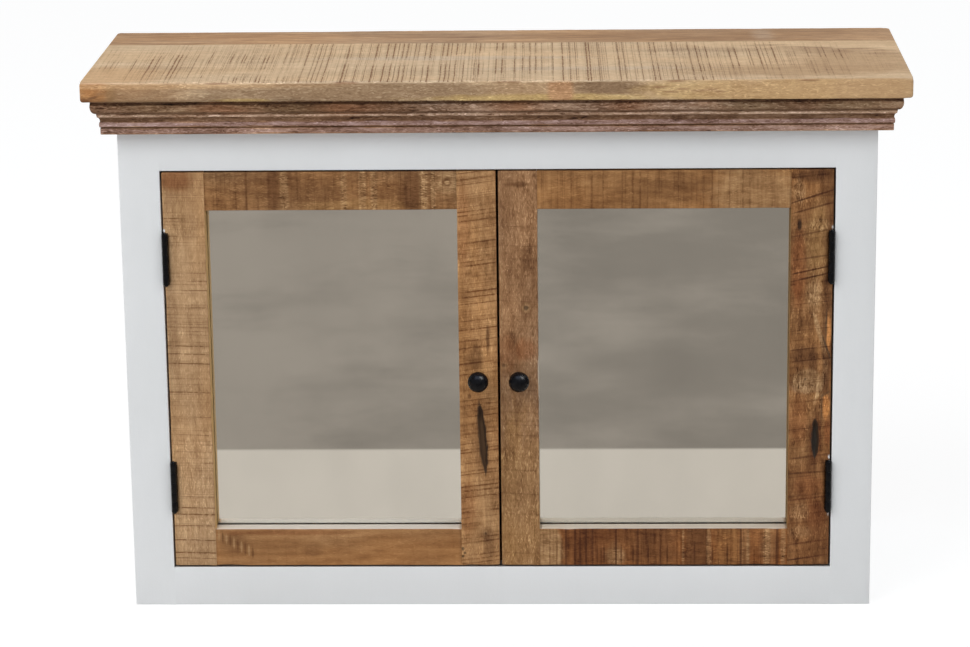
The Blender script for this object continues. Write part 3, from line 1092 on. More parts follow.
board_stains = {
    "left_door_hinge_stile": [
        door_stain(-0.354, 0.495, 0.018, 0.012, RUST, 0.70),
        door_stain(-0.345, 0.470, 0.026, 0.036, UMBER, 0.28),
        door_stain(-0.352, 0.448, 0.012, 0.022, TAN, 0.35, wool=0.5),
        door_stain(-0.362, 0.330, 0.006, 0.050, UMBER, 0.25),
        door_stain(-0.344, 0.130, 0.024, 0.080, LIGHT_TAN, 0.28, wool=0.3),
        door_stain(-0.3685, 0.4375, 0.0014, 0.0018, PAINT_WHITE, 0.75, ragged=1.6, softness=0.6)],
    "left_door_meeting_stile": [
        door_stain(-0.038, 0.440, 0.007, 0.050, RUST, 0.4),
        door_stain(-0.012, 0.313, 0.0022, 0.015, UMBER, 0.8),
        door_stain(-0.026, 0.290, 0.010, 0.012, UMBER, 0.55),
        door_stain(-0.033, 0.246, 0.002, 0.003, UMBER, 0.9), *knot(-0.0168, 0.0846, 0.0026),
        door_stain(-0.014, 0.075, 0.006, 0.016, UMBER, 0.5),
        door_stain(-0.020, 0.200, 0.008, 0.046, UMBER, 0.50, softness=0.6),
        *[door_stain(x, z, 0.0016, 0.0018, BARK, 0.75, ragged=2.0)
          for x, z in ((-0.0430, 0.0665), (-0.0405, 0.0615), (-0.0428, 0.0575))],
        door_stain(-0.036, 0.115, 0.008, 0.030, RUST, 0.4)],
    "left_door_top_rail": [
        door_stain(-0.250, 0.484, 0.045, 0.020, UMBER, 0.28),
        door_stain(-0.130, 0.484, 0.080, 0.050, UMBER, 0.12),
        door_stain(-0.054, 0.490, 0.012, 0.011, TAN, 0.50, wool=1.0),
        door_stain(-0.150, 0.465, 0.060, 0.006, GOLD, 0.35),
        door_stain(-0.055, 0.4915, 0.0055, 0.0050, UMBER, 0.85, ragged=0.8, softness=0.3),
        door_stain(-0.0545, 0.4905, 0.0030, 0.0024, TAN, 0.80, ragged=0.6, softness=0.3),
        *streaks(0.481, ((-0.276, 0.0014, UMBER), (-0.247, 0.0060, UMBER), (-0.234, 0.0045, TAN),
                         (-0.1685, 0.0035, TAN), (-0.148, 0.0040, TAN), (-0.135, 0.0035, TAN),
                         (-0.093, 0.0090, UMBER), (-0.080, 0.0045, TAN), (-0.070, 0.0030, TAN)))],
    "left_door_bottom_rail": [
        door_stain(-0.300, 0.072, 0.014, 0.012, UMBER, 0.45),
        door_stain(-0.210, 0.066, 0.010, 0.008, UMBER, 0.35),
        door_stain(-0.240, 0.086, 0.080, 0.003, RUST, 0.5),
        door_stain(-0.265, 0.066, 0.055, 0.030, UMBER, 0.14),
        *[door_stain(-0.3190 + 0.0042 * step, 0.0830 - 0.0023 * step, 0.0011, 0.0060,
                     UMBER if step % 2 else TAN, 0.7, ragged=1.4)
          for step in range(10)]],
    "right_door_meeting_stile": [
        door_stain(0.023, 0.488, 0.012, 0.003, UMBER, 0.75), *knot(0.031, 0.348, 0.0030),
        *knot(0.006, 0.282, 0.0032), door_stain(0.014, 0.309, 0.006, 0.014, UMBER, 0.65),
        door_stain(0.010, 0.296, 0.016, 0.020, RUST, 0.35),
        door_stain(0.034, 0.402, 0.008, 0.016, UMBER, 0.55),
        door_stain(0.030, 0.300, 0.012, 0.012, RUST, 0.5),
        door_stain(0.022, 0.120, 0.034, 0.110, AMBER, 0.40)],
    "right_door_top_rail": [
        door_stain(0.285, 0.480, 0.050, 0.028, TAN, 0.62),
        door_stain(0.200, 0.484, 0.040, 0.014, UMBER, 0.25)],
    "right_door_bottom_rail": [
        door_stain(0.054, 0.067, 0.016, 0.034, TAN, 0.80, ragged=0.5, softness=0.2, lean=-0.4),
        door_stain(0.097, 0.067, 0.022, 0.050, RED_WINE, 0.50),
        door_stain(0.175, 0.067, 0.026, 0.050, UMBER, 0.50),
        door_stain(0.2205, 0.067, 0.0135, 0.050, UMBER, 0.72, ragged=0.5, softness=0.25),
        door_stain(0.1290, 0.058, 0.0100, 0.0130, TAN, 0.50, wool=0.4),
        door_stain(0.256, 0.067, 0.014, 0.050, GOLD, 0.22),
        door_stain(0.2755, 0.067, 0.0050, 0.050, TAN, 0.30),
        door_stain(0.302, 0.067, 0.0090, 0.050, TAN, 0.25),
        *[door_stain(x, 0.059, 0.0010, 0.0130, WINE, 0.70, ragged=0.6, softness=0.4)
          for x in (0.1087, 0.1132, 0.1166, 0.1358, 0.1494, 0.1663, 0.1799, 0.1878, 0.2182, 0.2386,
                    0.2555)],
        *streaks(0.067, ((0.0735, 0.0012, WINE), (0.0840, 0.0014, WINE), (0.0895, 0.0010, WINE),
                         (0.0965, 0.0013, WINE), (0.1035, 0.0012, WINE), (0.1300, 0.0012, WINE),
                         (0.1545, 0.0016, WINE), (0.2056, 0.0014, TAN), (0.2345, 0.0030, TAN),
                         (0.2705, 0.0012, WINE), (0.2786, 0.0016, TAN), (0.3000, 0.0042, TAN),
                         (0.3115, 0.0018, WINE), (0.3180, 0.0030, TAN)))],
    "right_door_hinge_stile": [
        door_stain(0.348, 0.455, 0.028, 0.052, UMBER, 0.30),
        door_stain(0.347, 0.497, 0.024, 0.008, UMBER, 0.9),
        door_stain(0.330, 0.480, 0.008, 0.013, TAN, 0.36, wool=1.5),
        door_stain(0.352, 0.420, 0.012, 0.040, GOLD, 0.35),
        door_stain(0.331, 0.390, 0.008, 0.045, RUST, 0.7),
        door_stain(0.332, 0.441, 0.0022, 0.006, BARK, 0.85),
        door_stain(0.350, 0.360, 0.006, 0.026, TAN, 0.32, wool=0.7),
        door_stain(0.337, 0.292, 0.012, 0.011, UMBER, 0.75),
        door_stain(0.348, 0.284, 0.006, 0.016, UMBER, 0.6),
        door_stain(0.342, 0.263, 0.021, 0.017, UMBER, 0.45, ragged=0.6, softness=0.25),
        *[door_stain(x, z, wide, tall, TAN, 0.60, ragged=0.7, softness=0.45, lean=lean, wool=0.5)
          for x, z, wide, tall, lean in ((0.3543, 0.322, 0.0065, 0.0080, -2.9),
                                         (0.3610, 0.296, 0.0032, 0.0120, -4.0),
                                         (0.3620, 0.272, 0.0026, 0.0110, 0.0),
                                         (0.3565, 0.253, 0.0060, 0.0060, 2.0))],
        door_stain(0.341, 0.2565, 0.018, 0.0070, LIGHT_TAN, 0.30, ragged=0.7, softness=0.45, wool=0.5),
        door_stain(0.342, 0.263, 0.017, 0.0135, TAN, 0.60, ragged=0.5, softness=0.20, wool=0.5),
        door_stain(0.341, 0.264, 0.011, 0.0085, UMBER, 0.35, ragged=0.6, softness=0.30),
        door_stain(0.341, 0.264, 0.008, 0.0060, TAN, 0.50, ragged=0.5, softness=0.30),
        *knot(0.3405, 0.265, 0.0016), door_stain(0.364, 0.320, 0.005, 0.080, UMBER, 0.85),
        door_stain(0.3655, 0.318, 0.0024, 0.020, SAP_ORANGE, 0.9),
        door_stain(0.3638, 0.300, 0.0050, 0.0036, BARK_BROWN, 0.85, ragged=0.8, lean=-2.8),
        door_stain(0.3628, 0.328, 0.0010, 0.016, BARK_BROWN, 0.75),
        door_stain(0.3636, 0.233, 0.0042, 0.0145, SAP_ORANGE, 0.92, ragged=0.7, softness=0.3),
        door_stain(0.3590, 0.231, 0.0014, 0.0160, BARK_BROWN, 0.65, ragged=1.4, softness=0.7),
        door_stain(0.3625, 0.2475, 0.0046, 0.0018, BARK_BROWN, 0.65, ragged=1.4, softness=0.7, lean=0.5),
        door_stain(0.3655, 0.203, 0.0040, 0.0140, RUST, 0.80),
        door_stain(0.333, 0.215, 0.010, 0.030, RUST, 0.5),
        door_stain(0.352, 0.196, 0.008, 0.034, UMBER, 0.95),
        door_stain(0.3528, 0.195, 0.0062, 0.024, RED_WINE, 0.75, softness=0.7),
        door_stain(0.354, 0.110, 0.010, 0.017, RED_WINE, 0.80),
        *[door_stain(0.3685, z, 0.0015, 0.0022, PAINT_WHITE, 0.75, ragged=1.6, softness=0.6)
          for z in (0.4385, 0.1745, 0.1075)],
        *[door_stain(0.346, z, 0.026, 0.0011, WINE, strength, ragged=1.3, softness=0.4, lean=lean)
          for z, lean, strength in ((0.473, 0.32, 0.85), (0.460, 0.28, 0.70), (0.390, 0.22, 0.95),
                                    (0.382, 0.24, 0.90), (0.432, 0.20, 0.55), (0.404, 0.15, 0.55),
                                    (0.175, 0.14, 0.60), (0.156, 0.05, 0.55), (0.143, 0.10, 0.50),
                                    (0.126, 0.12, 0.90), (0.098, 0.10, 0.55), (0.074, 0.14, 0.80),
                                    (0.056, 0.16, 0.85))],
        door_stain(0.336, 0.110, 0.010, 0.010, TAN, 0.30, wool=1.5),
        door_stain(0.336, 0.086, 0.011, 0.007, TAN, 0.27, wool=1.5),
        door_stain(0.354, 0.100, 0.009, 0.022, WINE, 0.50),
        door_stain(0.345, 0.140, 0.016, 0.012, RUST, 0.45),
        door_stain(0.345, 0.100, 0.034, 0.070, RUST, 0.24),
        door_stain(0.355, 0.441, 0.013, 0.006, TAN, 0.24, wool=1.5),
        door_stain(0.363, 0.422, 0.006, 0.012, UMBER, 0.60),
        door_stain(0.330, 0.369, 0.005, 0.009, RUST, 0.80),
        door_stain(0.349, 0.362, 0.008, 0.014, TAN, 0.32, wool=0.8)],
}
bark_pockets = {
    "left_door_meeting_stile": Pocket(-0.0192, 0.197, 0.041, 0.0039, -0.075, 0.0028, BARK_BROWN),
    "right_door_hinge_stile": Pocket(0.3520, 0.196, 0.023, 0.0034, 0.0, 0.0030, BARK_GREY),
}
planed_colours = {"left_door_bottom_rail": SILL_PALE, "right_door_bottom_rail": SILL_TAN,
                  "left_door_hinge_stile": PLANED_GOLD, "right_door_hinge_stile": GOLD,
                  "right_door_meeting_stile": SILL_TAN}


def make_bark_pocket():
    """A bark pocket on a door's face: its torn slot, and its dark right edge and upper end."""
    tree, given, result = new_group(
        "bark_pocket", {"Place": "Vector", "X": "Float", "Z": "Float", "Half length": "Float",
                        "Half width": "Float", "Lean": "Float"}, {"Inside": "Float", "Dark": "Float"})
    x, _, z = split(tree, given["Place"])
    up = calculate(tree, "SUBTRACT", z, given["Z"])
    along = calculate(tree, "DIVIDE", up, given["Half length"])
    side = calculate(tree, "SUBTRACT", calculate(tree, "SUBTRACT", x, given["X"]),
                     product(tree, up, given["Lean"]))
    across = calculate(tree, "DIVIDE", side, given["Half width"])
    torn = calculate(tree, "SUBTRACT", speckle(tree, given["Place"], (420.0, 420.0, 95.0), 4.0, 0.65), 0.5)
    taper = calculate(tree, "POWER", calculate(tree, "ABSOLUTE", along), 3.0)
    half_here = calculate(tree, "SUBTRACT", 1.0, taper)
    edge = calculate(tree, "SUBTRACT", calculate(tree, "ABSOLUTE", across), half_here)
    edge = total(tree, edge, product(tree, torn, 1.4))
    inside = stepped(tree, edge, 0.45, -0.30)
    near = stepped(tree, calculate(tree, "ABSOLUTE", total(tree, edge, 0.10)), 0.55, 0.08)
    line = product(tree, near, stepped(tree, across, -0.4, 0.5, 0.30))
    end = product(tree, inside, stepped(tree, along, 0.35, 0.75))
    feed(tree, result, {"Inside": inside, "Dark": calculate(tree, "MAXIMUM", line, end)})
    return tree


bark_pocket = make_bark_pocket()


def door_wood(node, along, glass_axis, glass_face, seed):
    """A door board's finish: its own wood, a pale planed edge beside the glass, and any bark pocket."""
    low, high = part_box(node)
    material, tree, shader, place = wooden(f"{node}_wood", along, "Y", (low, high), board_looks[node], seed,
                                           board_stains[node])
    colour = shader.inputs["Base Color"].links[0].from_socket
    parts = split(tree, place)
    inward = math.copysign(1.0, (low[glass_axis] + high[glass_axis]) / 2 - glass_face)
    planed = stepped(tree, parts[glass_axis], glass_face + inward * PLANED_ENDS,
                     glass_face + inward * PLANED_FADES)
    behind_arris = stepped(tree, parts[1], door_front + PLANED_STARTS, door_front + PLANED_FULL)
    colour = mixed(tree, product(tree, planed, behind_arris, PLANED_STRENGTH), colour,
                   planed_colours.get(node, PLANED_TAN))
    if node in bark_pockets:
        spot = bark_pockets[node]
        masks = add(tree, "ShaderNodeGroup",
                    {"Place": place, "X": spot.x, "Z": spot.z, "Half length": spot.half_length,
                     "Half width": spot.half_width, "Lean": spot.lean}, node_tree=bark_pocket).outputs
        at_face = stepped(tree, parts[1], door_front + POCKET_STAIN_ENDS, door_front + POCKET_STAIN_FADES)
        for title, bark in (("Inside", spot.colour), ("Dark", BARK)):
            colour = mixed(tree, product(tree, masks[title], at_face), colour, bark)
    feed(tree, shader, {"Base Color": colour})
    return material


def sink_pocket(shape, spot):
    """Hollow a bark pocket out of a door board's face."""
    for corner in shape.verts:
        if corner.co.y > door_front + POCKET_FACE:
            continue
        up = corner.co.z - spot.z
        along = up / spot.half_length
        across = (corner.co.x - spot.x - spot.lean * up) / spot.half_width
        inside = 1.0 - abs(along) ** 3 - abs(across)
        if inside > 0:
            corner.co.y += spot.depth * min(1.0, 1.4 * inside)


for number, node in enumerate(board_looks):
    low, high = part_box(node)
    side = node.split("_")[0]
    upright = node.endswith("stile")
    seats = {axis: (low[axis], high[axis]) for axis in range(3)}
    if upright:
        glass_axis = 0
        glass_face = min(low.x, high.x, key=abs) if "hinge" in node else max(low.x, high.x, key=abs)
    else:
        glass_axis = 2
        glass_face = glass_low if "bottom" in node else glass_high
        stiles = [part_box(f"{side}_door_{use}_stile") for use in ("hinge", "meeting")]
        edges = sorted(corner.x for stile in stiles for corner in stile)
        seats[0] = (edges[1], edges[2])
    strike_low, strike_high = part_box(f"{side}_strike_plate")
    around = Vector((RECESS_MARGIN, RECESS_MARGIN, RECESS_MARGIN))
    shape = squared_copy(node, seats, (strike_low - around, strike_high + around))
    wide_cuts = spaced(*seats[0], DOOR_STEP, DOOR_ROWS if upright else ())
    tall_cuts = spaced(low.z, high.z, DOOR_STEP, DOOR_ROWS) + ([glass_low, glass_high] if upright else [])
    if node in bark_pockets:
        spot = bark_pockets[node]
        reach = 1.3 * spot.half_width + abs(spot.lean) * spot.half_length
        wide_cuts += spaced(spot.x - reach, spot.x + reach, POCKET_STEP)
        tall_cuts += spaced(spot.z - spot.half_length, spot.z + spot.half_length, 2 * POCKET_STEP)
    cut_at(shape, 1, spaced(low.y, high.y, THROUGH_STEP, DOOR_ROWS))
    cut_at(shape, 0 if upright else 2, wide_cuts if upright else tall_cuts)
    cut_at(shape, 2 if upright else 0, tall_cuts if upright else wide_cuts)
    worn = chipped(DOOR_ARRIS, DOOR_CHIPS, 3.0 * number)

    def door_round(place):
        """Worn arrises, but square ones where a stile meets a rail."""
        at_joint = abs(place.x - glass_face) < JOINT_REACH
        beside_glass = glass_low + FLUSH < place.z < glass_high - FLUSH
        return 0.0 if upright and at_joint and not beside_glass else worn(place)

    past_joint = Vector((0.0 if upright else 1.0, 0.0, 0.0))
    waves = (WAVES_ACROSS, 1.0, WAVES_ALONG) if upright else (WAVES_ALONG, 1.0, WAVES_ACROSS)
    soften(shape, low - past_joint, high + past_joint, door_round)
    sawn_relief(shape, 1, door_front, 1, waves, DOOR_RELIEF, 7.0 + number)
    if node in bark_pockets:
        sink_pocket(shape, bark_pockets[node])
    material = door_wood(node, "Z" if upright else "X", glass_axis, glass_face, 60.0 + 3.7 * number)
    settle(f"{node}_sawn", shape, material, f"{side}_door", [node], SAWN_SHARP)


# Mirrors
# A plate of clear glass, silvered behind, in the rabbet of each door. A thin board keeps it in place.
# The board is held by small brads, driven through it near its edges.

GLASS_TINT = (0.985, 0.992, 0.986)
GLASS_IOR = 1.5
GLASS_EASE = 0.0004
GLASS_SHARP = math.radians(20)
SILVER_COLOUR = (0.930, 0.940, 0.935)
SILVER_AGED = tuple(0.93 * share for share in SILVER_COLOUR)
SILVER_ROUGHNESS = 0.01
SILVER_THICKNESS = 0.0001
SILVER_GAP = 0.00005
BRAD_RADIUS = 0.0013
BRAD_STAND = 0.0005
BRAD_SPACING = 0.085
BRAD_FROM_EDGE = 0.004


def clear_glass():
    """Clear float glass with a faint film on it."""
    material, tree, shader, place = new_finish("mirror_glass", 0.0)
    film = speckle(tree, place, (14.0, 14.0, 9.0), 4.0)
    feed(tree, shader, {"Base Color": GLASS_TINT, "IOR": GLASS_IOR, "Transmission Weight": 1.0,
                        "Roughness": stepped(tree, film, 0.58, 0.90, 0.0, 0.012)})
    return material


def silvering():
    """The silver coat behind the glass, a little duller where it has clouded."""
    material, tree, shader, place = new_finish("mirror_silver", SILVER_ROUGHNESS, 1.0)
    cloud = stepped(tree, speckle(tree, place, (9.0, 9.0, 6.0), 3.0), 0.35, 0.7)
    feed(tree, shader, {"Base Color": mixed(tree, cloud, SILVER_COLOUR, SILVER_AGED)})
    return material


glass = clear_glass()
silver = silvering()
brad = nail_head(BRAD_RADIUS, BRAD_STAND)
for side in ("left", "right"):
    door = f"{side}_door"
    low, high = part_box(f"{side}_mirror")
    plate = block(low, high, GLASS_EASE)
    settle(f"{side}_mirror_glass", plate, glass, door, [f"{side}_mirror"], GLASS_SHARP)
    coat_front = high.y + SILVER_GAP
    coat = block((low.x, coat_front, low.z), (high.x, coat_front + SILVER_THICKNESS, high.z))
    settle(f"{side}_mirror_silver", coat, silver, door)
    low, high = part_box(f"{side}_mirror_backing")
    backing = wooden(f"{side}_mirror_backing_ply", "Z", "Y", (low, high), PLY_LOOK, 71.0 + low.x,
                     relief=PLY_RELIEF)[0]
    dress(f"{side}_mirror_backing", backing)
    brads = driven(brad, (0, 1, 0), nailed_round(low, high, high.y, BRAD_SPACING, BRAD_FROM_EDGE))
    settle(f"{side}_mirror_brads", brads, steel, door)
brad.free()


# Hinges
# Black steel butt hinges of five knuckles. One leaf lies on the face frame, the other is let into the door.
# A pin with a button at each end runs through the knuckles, and three small screws hold each leaf.

BLACK = (0.0040, 0.0040, 0.0052)
BLACK_WORN = (0.0110, 0.0110, 0.0125)
BLACK_ROUGHNESS = 0.36
BLACK_SPECULAR = 0.15
LEAF_THICKNESS = 0.0016
LEAF_EASE = 0.00022
LEAF_RIM = math.radians(60)
HINGE_SCREW_RADIUS = 0.0029
HINGE_SCREW_HEIGHT = 0.0005
HINGE_SCREW_FROM_PIN = 0.0125
HINGE_SCREW_PLACES = ((-0.020, 0.002), (0.0, -0.002), (0.020, 0.002))
TIP_RADIUS = 0.0022
PIN_RADIUS = 0.0016
TIP_HEIGHT = 0.0018
TIP_STEPS = 5


def black_metal():
    """Steel in baked satin black, a shade greyer where it has been rubbed."""
    material, tree, shader, place = new_finish("satin_black", BLACK_ROUGHNESS)
    rubbed = speckle(tree, place, (110.0, 110.0, 110.0), 4.0, 0.6)
    colour = mixed(tree, stepped(tree, rubbed, 0.55, 0.80), BLACK, BLACK_WORN)
    feed(tree, shader, {"Base Color": colour, "Specular IOR Level": BLACK_SPECULAR,
                        "Roughness": stepped(tree, rubbed, 0.25, 0.75, 0.22, 0.32)})
    bump(tree, shader, speckle(tree, place, (700.0, 700.0, 700.0), 2.0), METAL_RELIEF)
    return material


black = black_metal()
hinge_screw = screw_head(HINGE_SCREW_RADIUS, HINGE_SCREW_HEIGHT)
for side, outward in (("left", -1), ("right", 1)):
    for place in ("upper", "lower"):
        hinge = f"{side}_{place}_hinge"
        pin_low, pin_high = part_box(f"{hinge}_pin")
        pin = (pin_low + pin_high) / 2
        for leaf, body, reach in (("frame", "cabinet", outward), ("door", f"{side}_door", -outward)):
            node = f"{hinge}_{leaf}_leaf"
            low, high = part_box(node)
            shape = merged_copy(node)
            flatten(shape)
            rounded(shape, [edge for edge in shape.edges
                            if len(edge.link_faces) == 2 and edge.calc_face_angle() > LEAF_RIM], LEAF_EASE)
            settle(f"{node}_eased", shape, black, body, [node])
            plate = pin.x + reach * ((high.x - low.x) / 2 - LEAF_THICKNESS)
            screws = driven(hinge_screw, (-reach, 0, 0),
                            [(plate, pin.y + HINGE_SCREW_FROM_PIN + across, pin.z + height)
                             for height, across in HINGE_SCREW_PLACES])
            settle(f"{hinge}_{leaf}_screws", screws, black, body)
        shoulder = (pin_high.z - pin_low.z) / 2 - TIP_HEIGHT
        button = [(TIP_RADIUS * math.sin(turn), shoulder + TIP_HEIGHT * math.cos(turn))
                  for turn in quarter(TIP_STEPS)]
        button.append((PIN_RADIUS, shoulder))
        profile = button + [(radius, -height) for radius, height in reversed(button)]
        shape = turned(profile, PIN_SIDES, Matrix.Translation(pin))
        settle(f"{hinge}_pin_turned", shape, black, "cabinet", [f"{hinge}_pin"])
hinge_screw.free()


# Knobs
# A turned ball on a short waisted neck, in the same satin black, screwed on from behind the door.
# The screw is a steel machine screw with a low round head.

KNOB_RADIUS = 0.0115
KNOB_NECK_RADIUS = 0.0046
KNOB_NECK_STARTS = 0.25
KNOB_NECK_STEPS = 6
KNOB_FOOT_RADIUS = 0.0065
KNOB_FOOT_EASE = 0.0003
KNOB_HOLE_RADIUS = 0.0023
KNOB_HOLE_DEPTH = 0.012
KNOB_SIDES = 64
KNOB_RINGS = 26
KNOB_SCREW_HEAD = 0.0024
KNOB_SCREW_SHANK = 0.0020

for side in ("left", "right"):
    low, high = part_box(f"{side}_knob")
    middle = (low + high) / 2
    length = high.y - low.y
    centre = length - KNOB_RADIUS
    start = math.asin(KNOB_NECK_RADIUS / KNOB_RADIUS)
    neck_top = centre - KNOB_RADIUS * math.cos(start)
    flare = KNOB_FOOT_RADIUS - KNOB_NECK_RADIUS
    profile = [(0.0, KNOB_HOLE_DEPTH), (KNOB_HOLE_RADIUS, KNOB_HOLE_DEPTH), (KNOB_HOLE_RADIUS, 0.0),
               (KNOB_FOOT_RADIUS - KNOB_FOOT_EASE, 0.0), (KNOB_FOOT_RADIUS, KNOB_FOOT_EASE)]
    for step, turn in enumerate(quarter(KNOB_NECK_STEPS)[:-1]):
        rise = KNOB_NECK_STARTS + (1 - KNOB_NECK_STARTS) * step / KNOB_NECK_STEPS
        profile.append((KNOB_NECK_RADIUS + flare * (1 - math.sin(turn)), neck_top * rise))
    for step in range(KNOB_RINGS):
        turn = start + (math.pi - start) * step / KNOB_RINGS
        profile.append((KNOB_RADIUS * math.sin(turn), centre - KNOB_RADIUS * math.cos(turn)))
    profile.append((0.0, length))
    shape = turned(profile, KNOB_SIDES, facing((0, -1, 0), (middle.x, high.y, middle.z)))
    settle(f"{side}_knob_turned", shape, black, f"{side}_door", [f"{side}_knob"])

    low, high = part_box(f"{side}_knob_screw")
    middle = (low + high) / 2
    under_head = high.y - KNOB_SCREW_HEAD
    head = screw_head((high.x - low.x) / 2, KNOB_SCREW_HEAD)
    shank = disc(KNOB_SCREW_SHANK, under_head - low.y, SCREW_SIDES)
    shape = driven(head, (0, 1, 0), [(middle.x, under_head, middle.z)])
    stamp(shape, shank, facing((0, 1, 0), (middle.x, low.y, middle.z)))
    head.free()
    shank.free()
    settle(f"{side}_knob_screw_turned", shape, steel, f"{side}_door", [f"{side}_knob_screw"])


# Catches
# A moulded magnetic catch behind the top rail of the face frame for each door, held by two screws.
# Its magnet lies between two steel poles, which draw in a steel strike let into the door.

CATCH_COLOUR = (0.640, 0.640, 0.620)
CATCH_YELLOWED = tuple(share * tint for share, tint in zip(CATCH_COLOUR, (0.97, 0.94, 0.86)))
CATCH_ROUGHNESS = 0.48
CATCH_RELIEF = 0.00003
CATCH_EASE = 0.0012
CATCH_SCREW_RADIUS = 0.0032
CATCH_SCREW_HEIGHT = 0.0009
CATCH_SCREW_SPREAD = 0.013
CATCH_SCREW_LIFT = 0.006
POLE_SIZE = (0.034, 0.0040, 0.0014)
POLE_STAND = 0.0002
POLE_LIFT = 0.0032
POLE_EASE = 0.0002
MAGNET_COLOUR = (0.050, 0.048, 0.047)
MAGNET_ROUGHNESS = 0.55
MAGNET_METALLIC = 0.3
MAGNET_SIZE = (0.032, 0.0040, 0.0048)
MAGNET_STAND = 0.0001
MAGNET_EASE = 0.0003


def moulded_plastic():
    """Off-white moulded plastic with a fine spark-eroded skin."""
    material, tree, shader, place = new_finish("catch_plastic", CATCH_ROUGHNESS)
    aged = stepped(tree, speckle(tree, place, (45.0, 45.0, 45.0), 2.0), 0.3, 0.7)
    feed(tree, shader, {"Base Color": mixed(tree, aged, CATCH_YELLOWED, CATCH_COLOUR)})
    bump(tree, shader, speckle(tree, place, (650.0, 650.0, 650.0), 2.0), CATCH_RELIEF)
    return material


def bar_behind(front, size, ease):
    """A bar of a given size with eased edges, behind the middle of its front."""
    back = Vector((0.0, size[1], 0.0))
    half = Vector((size[0] / 2, 0.0, size[2] / 2))
    return block(front - half, front + half + back, ease)


plastic = moulded_plastic()
magnet = metal("magnet", MAGNET_COLOUR, MAGNET_ROUGHNESS, MAGNET_METALLIC)
catch_screw = screw_head(CATCH_SCREW_RADIUS, CATCH_SCREW_HEIGHT)
for side in ("left", "right"):
    low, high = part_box(f"catch_{side}")
    middle = (low + high) / 2
    body = block(low, high, CATCH_EASE, 3)
    settle(f"catch_{side}_body", body, plastic, "cabinet", [f"catch_{side}"])

    strike_low, strike_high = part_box(f"{side}_strike_plate")
    strike = Vector((middle.x, low.y, (strike_low.z + strike_high.z) / 2))
    poles = bmesh.new()
    for lift in (-POLE_LIFT, POLE_LIFT):
        bar = bar_behind(strike + Vector((0.0, -POLE_STAND, lift)), POLE_SIZE, POLE_EASE)
        stamp(poles, bar, Matrix())
        bar.free()
    settle(f"catch_{side}_poles", poles, steel, "cabinet")
    piece = bar_behind(strike - Vector((0.0, MAGNET_STAND, 0.0)), MAGNET_SIZE, MAGNET_EASE)
    settle(f"catch_{side}_magnet", piece, magnet, "cabinet")
    screws = driven(catch_screw, (0, 1, 0), [(middle.x + spread, high.y, middle.z + CATCH_SCREW_LIFT)
                                             for spread in (-CATCH_SCREW_SPREAD, CATCH_SCREW_SPREAD)])
    settle(f"catch_{side}_screws", screws, steel, "cabinet")
    dress(f"{side}_strike_plate", steel)
catch_screw.free()


# Studio
# A plain white floor under soft daylight from above and in front, with the object's own faint shadow.
# What the mirrors see of the floor is toned down to a cream apron with grey ground beyond it.

FLOOR_SIZE = 24.0
FLOOR_DROP = 0.0004
FLOOR_COLOUR = (0.72, 0.72, 0.72)
WHITE = (1.0, 1.0, 1.0)
FLOOR_GLOW = 0.785
SHADOW_SHARE = 0.40
APRON_EDGE = -0.672
APRON_BLUR = 0.006
APRON_CREAM = (0.610, 0.545, 0.475)
GROUND_GREY = (0.345, 0.300, 0.255)
GROUND_SHADE = (0.250, 0.218, 0.185)
GROUND_DRIFT = -0.40
SKY_COLOUR = (0.96, 0.98, 1.00)
SKY_STRENGTH = 0.605
SKY_SHINE = 0.32
Lamp = namedtuple("Lamp", "title power size place colour lights")
lamps = (Lamp("key", 105.0, 3.2, (-2.4, -2.8, 3.5), WHITE, True),
         Lamp("side", 26.0, 1.1, (3.2, -2.3, 3.9), WHITE, True),
         Lamp("glint", 120.0, 1.6, (1.65, -0.55, 2.75), WHITE, False),
         Lamp("dome", 90.0, 3.0, (-0.25, -0.90, 3.40), (0.65, 0.75, 1.0), False))
TARGET = (0.0, 0.0, 0.30)
IMAGE_WIDTH = 970
SENSOR = 36.0
FOCAL_PIXELS = 3310.0
VIEW_REACH = 60.0
EYE = (0.1062, -3.6626, 1.2904)
YAW, PITCH, ROLL = (math.radians(angle) for angle in (-1.956, 15.16, -0.718))

scene = bpy.context.scene
scene.view_settings.view_transform = "Standard"


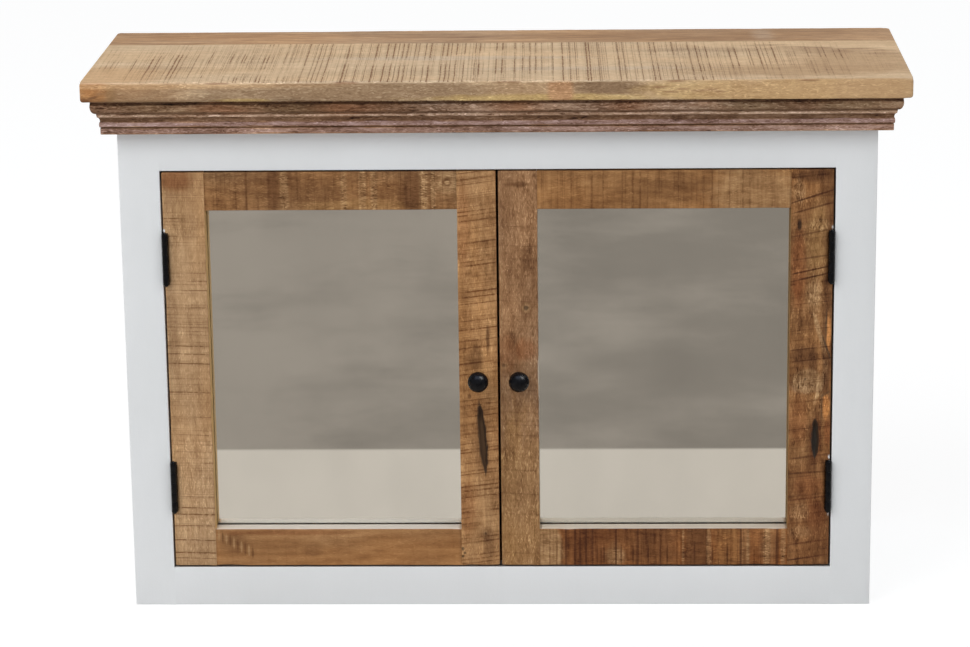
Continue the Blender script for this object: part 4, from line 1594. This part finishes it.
def floor_finish():
    """White to the camera apart from the shadow, and the toned ground to what the mirrors show."""
    material = bpy.data.materials.new("studio_floor")
    material.use_nodes = True
    tree = material.node_tree
    tree.nodes.clear()
    place = add(tree, "ShaderNodeTexCoord").outputs["Object"]
    path = add(tree, "ShaderNodeLightPath").outputs
    matt = add(tree, "ShaderNodeBsdfDiffuse", {"Color": FLOOR_COLOUR}).outputs[0]
    bright = FLOOR_GLOW / (1 - SHADOW_SHARE)
    glow = add(tree, "ShaderNodeEmission", {"Color": WHITE, "Strength": bright}).outputs[0]
    seen = add(tree, "ShaderNodeMixShader", {0: SHADOW_SHARE, 1: glow, 2: matt}).outputs[0]
    across, depth, _ = split(tree, place)
    cloud = speckle(tree, place, (3.0, 3.0, 3.0), 5.0, 0.6)
    cloud = calculate(tree, "MULTIPLY_ADD", across, GROUND_DRIFT, cloud)
    ground = mixed(tree, stepped(tree, cloud, 0.3, 0.7), GROUND_SHADE, GROUND_GREY)
    on_apron = stepped(tree, depth, APRON_EDGE - APRON_BLUR, APRON_EDGE + APRON_BLUR)
    toned = mixed(tree, on_apron, ground, APRON_CREAM)
    mirrored = add(tree, "ShaderNodeEmission", {"Color": toned, "Strength": 1.0}).outputs[0]
    to_camera = add(tree, "ShaderNodeMixShader", {0: path["Is Camera Ray"], 1: matt, 2: seen}).outputs[0]
    in_mirror = calculate(tree, "MAXIMUM", path["Is Glossy Ray"], path["Is Transmission Ray"])
    shown = add(tree, "ShaderNodeMixShader", {0: in_mirror, 1: to_camera, 2: mirrored}).outputs[0]
    add(tree, "ShaderNodeOutputMaterial", {"Surface": shown})
    return material


shape = bmesh.new()
bmesh.ops.create_grid(shape, x_segments=2, y_segments=2, size=FLOOR_SIZE / 2)
bmesh.ops.translate(shape, vec=(0, 0, -FLOOR_DROP), verts=shape.verts)
mesh = bpy.data.meshes.new("floor")
shape.to_mesh(mesh)
shape.free()
mesh.materials.append(floor_finish())
floor = bpy.data.objects.new("floor", mesh)
scene.collection.objects.link(floor)
floor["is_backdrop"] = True

world = bpy.data.worlds.new("daylight")
world.use_nodes = True
tree = world.node_tree
tree.nodes.clear()
path = add(tree, "ShaderNodeLightPath").outputs
daylight = stepped(tree, path["Is Glossy Ray"], 0.0, 1.0, SKY_STRENGTH, SKY_SHINE)
sky = add(tree, "ShaderNodeBackground", {"Color": SKY_COLOUR, "Strength": daylight}).outputs[0]
white = add(tree, "ShaderNodeBackground", {"Color": WHITE, "Strength": 1.0}).outputs[0]
shown = add(tree, "ShaderNodeMixShader", {0: path["Is Camera Ray"], 1: sky, 2: white}).outputs[0]
add(tree, "ShaderNodeOutputWorld", {"Surface": shown})
scene.world = world

for lamp in lamps:
    light = bpy.data.lights.new(lamp.title, "AREA")
    light.energy = lamp.power
    light.size = lamp.size
    light.color = lamp.colour
    stand = bpy.data.objects.new(lamp.title, light)
    stand.matrix_world = facing(Vector(lamp.place) - Vector(TARGET), lamp.place)
    stand.visible_diffuse = lamp.lights
    stand.visible_glossy = not lamp.lights
    stand.visible_transmission = False
    scene.collection.objects.link(stand)

forward = Vector((math.sin(YAW) * math.cos(PITCH), math.cos(YAW) * math.cos(PITCH), -math.sin(PITCH)))
level = Vector((math.cos(YAW), -math.sin(YAW), 0.0))
upward = level.cross(forward)
right = math.cos(ROLL) * level + math.sin(ROLL) * upward
top = math.cos(ROLL) * upward - math.sin(ROLL) * level
view = bpy.data.cameras.new("camera")
view.sensor_fit = "HORIZONTAL"
view.sensor_width = SENSOR
view.lens = FOCAL_PIXELS / IMAGE_WIDTH * SENSOR
view.clip_end = VIEW_REACH
camera = bpy.data.objects.new("camera", view)
camera.matrix_world = Matrix.Translation(EYE) @ Matrix((right, top, -forward)).transposed().to_4x4()
scene.collection.objects.link(camera)
scene.camera = camera

low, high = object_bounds()
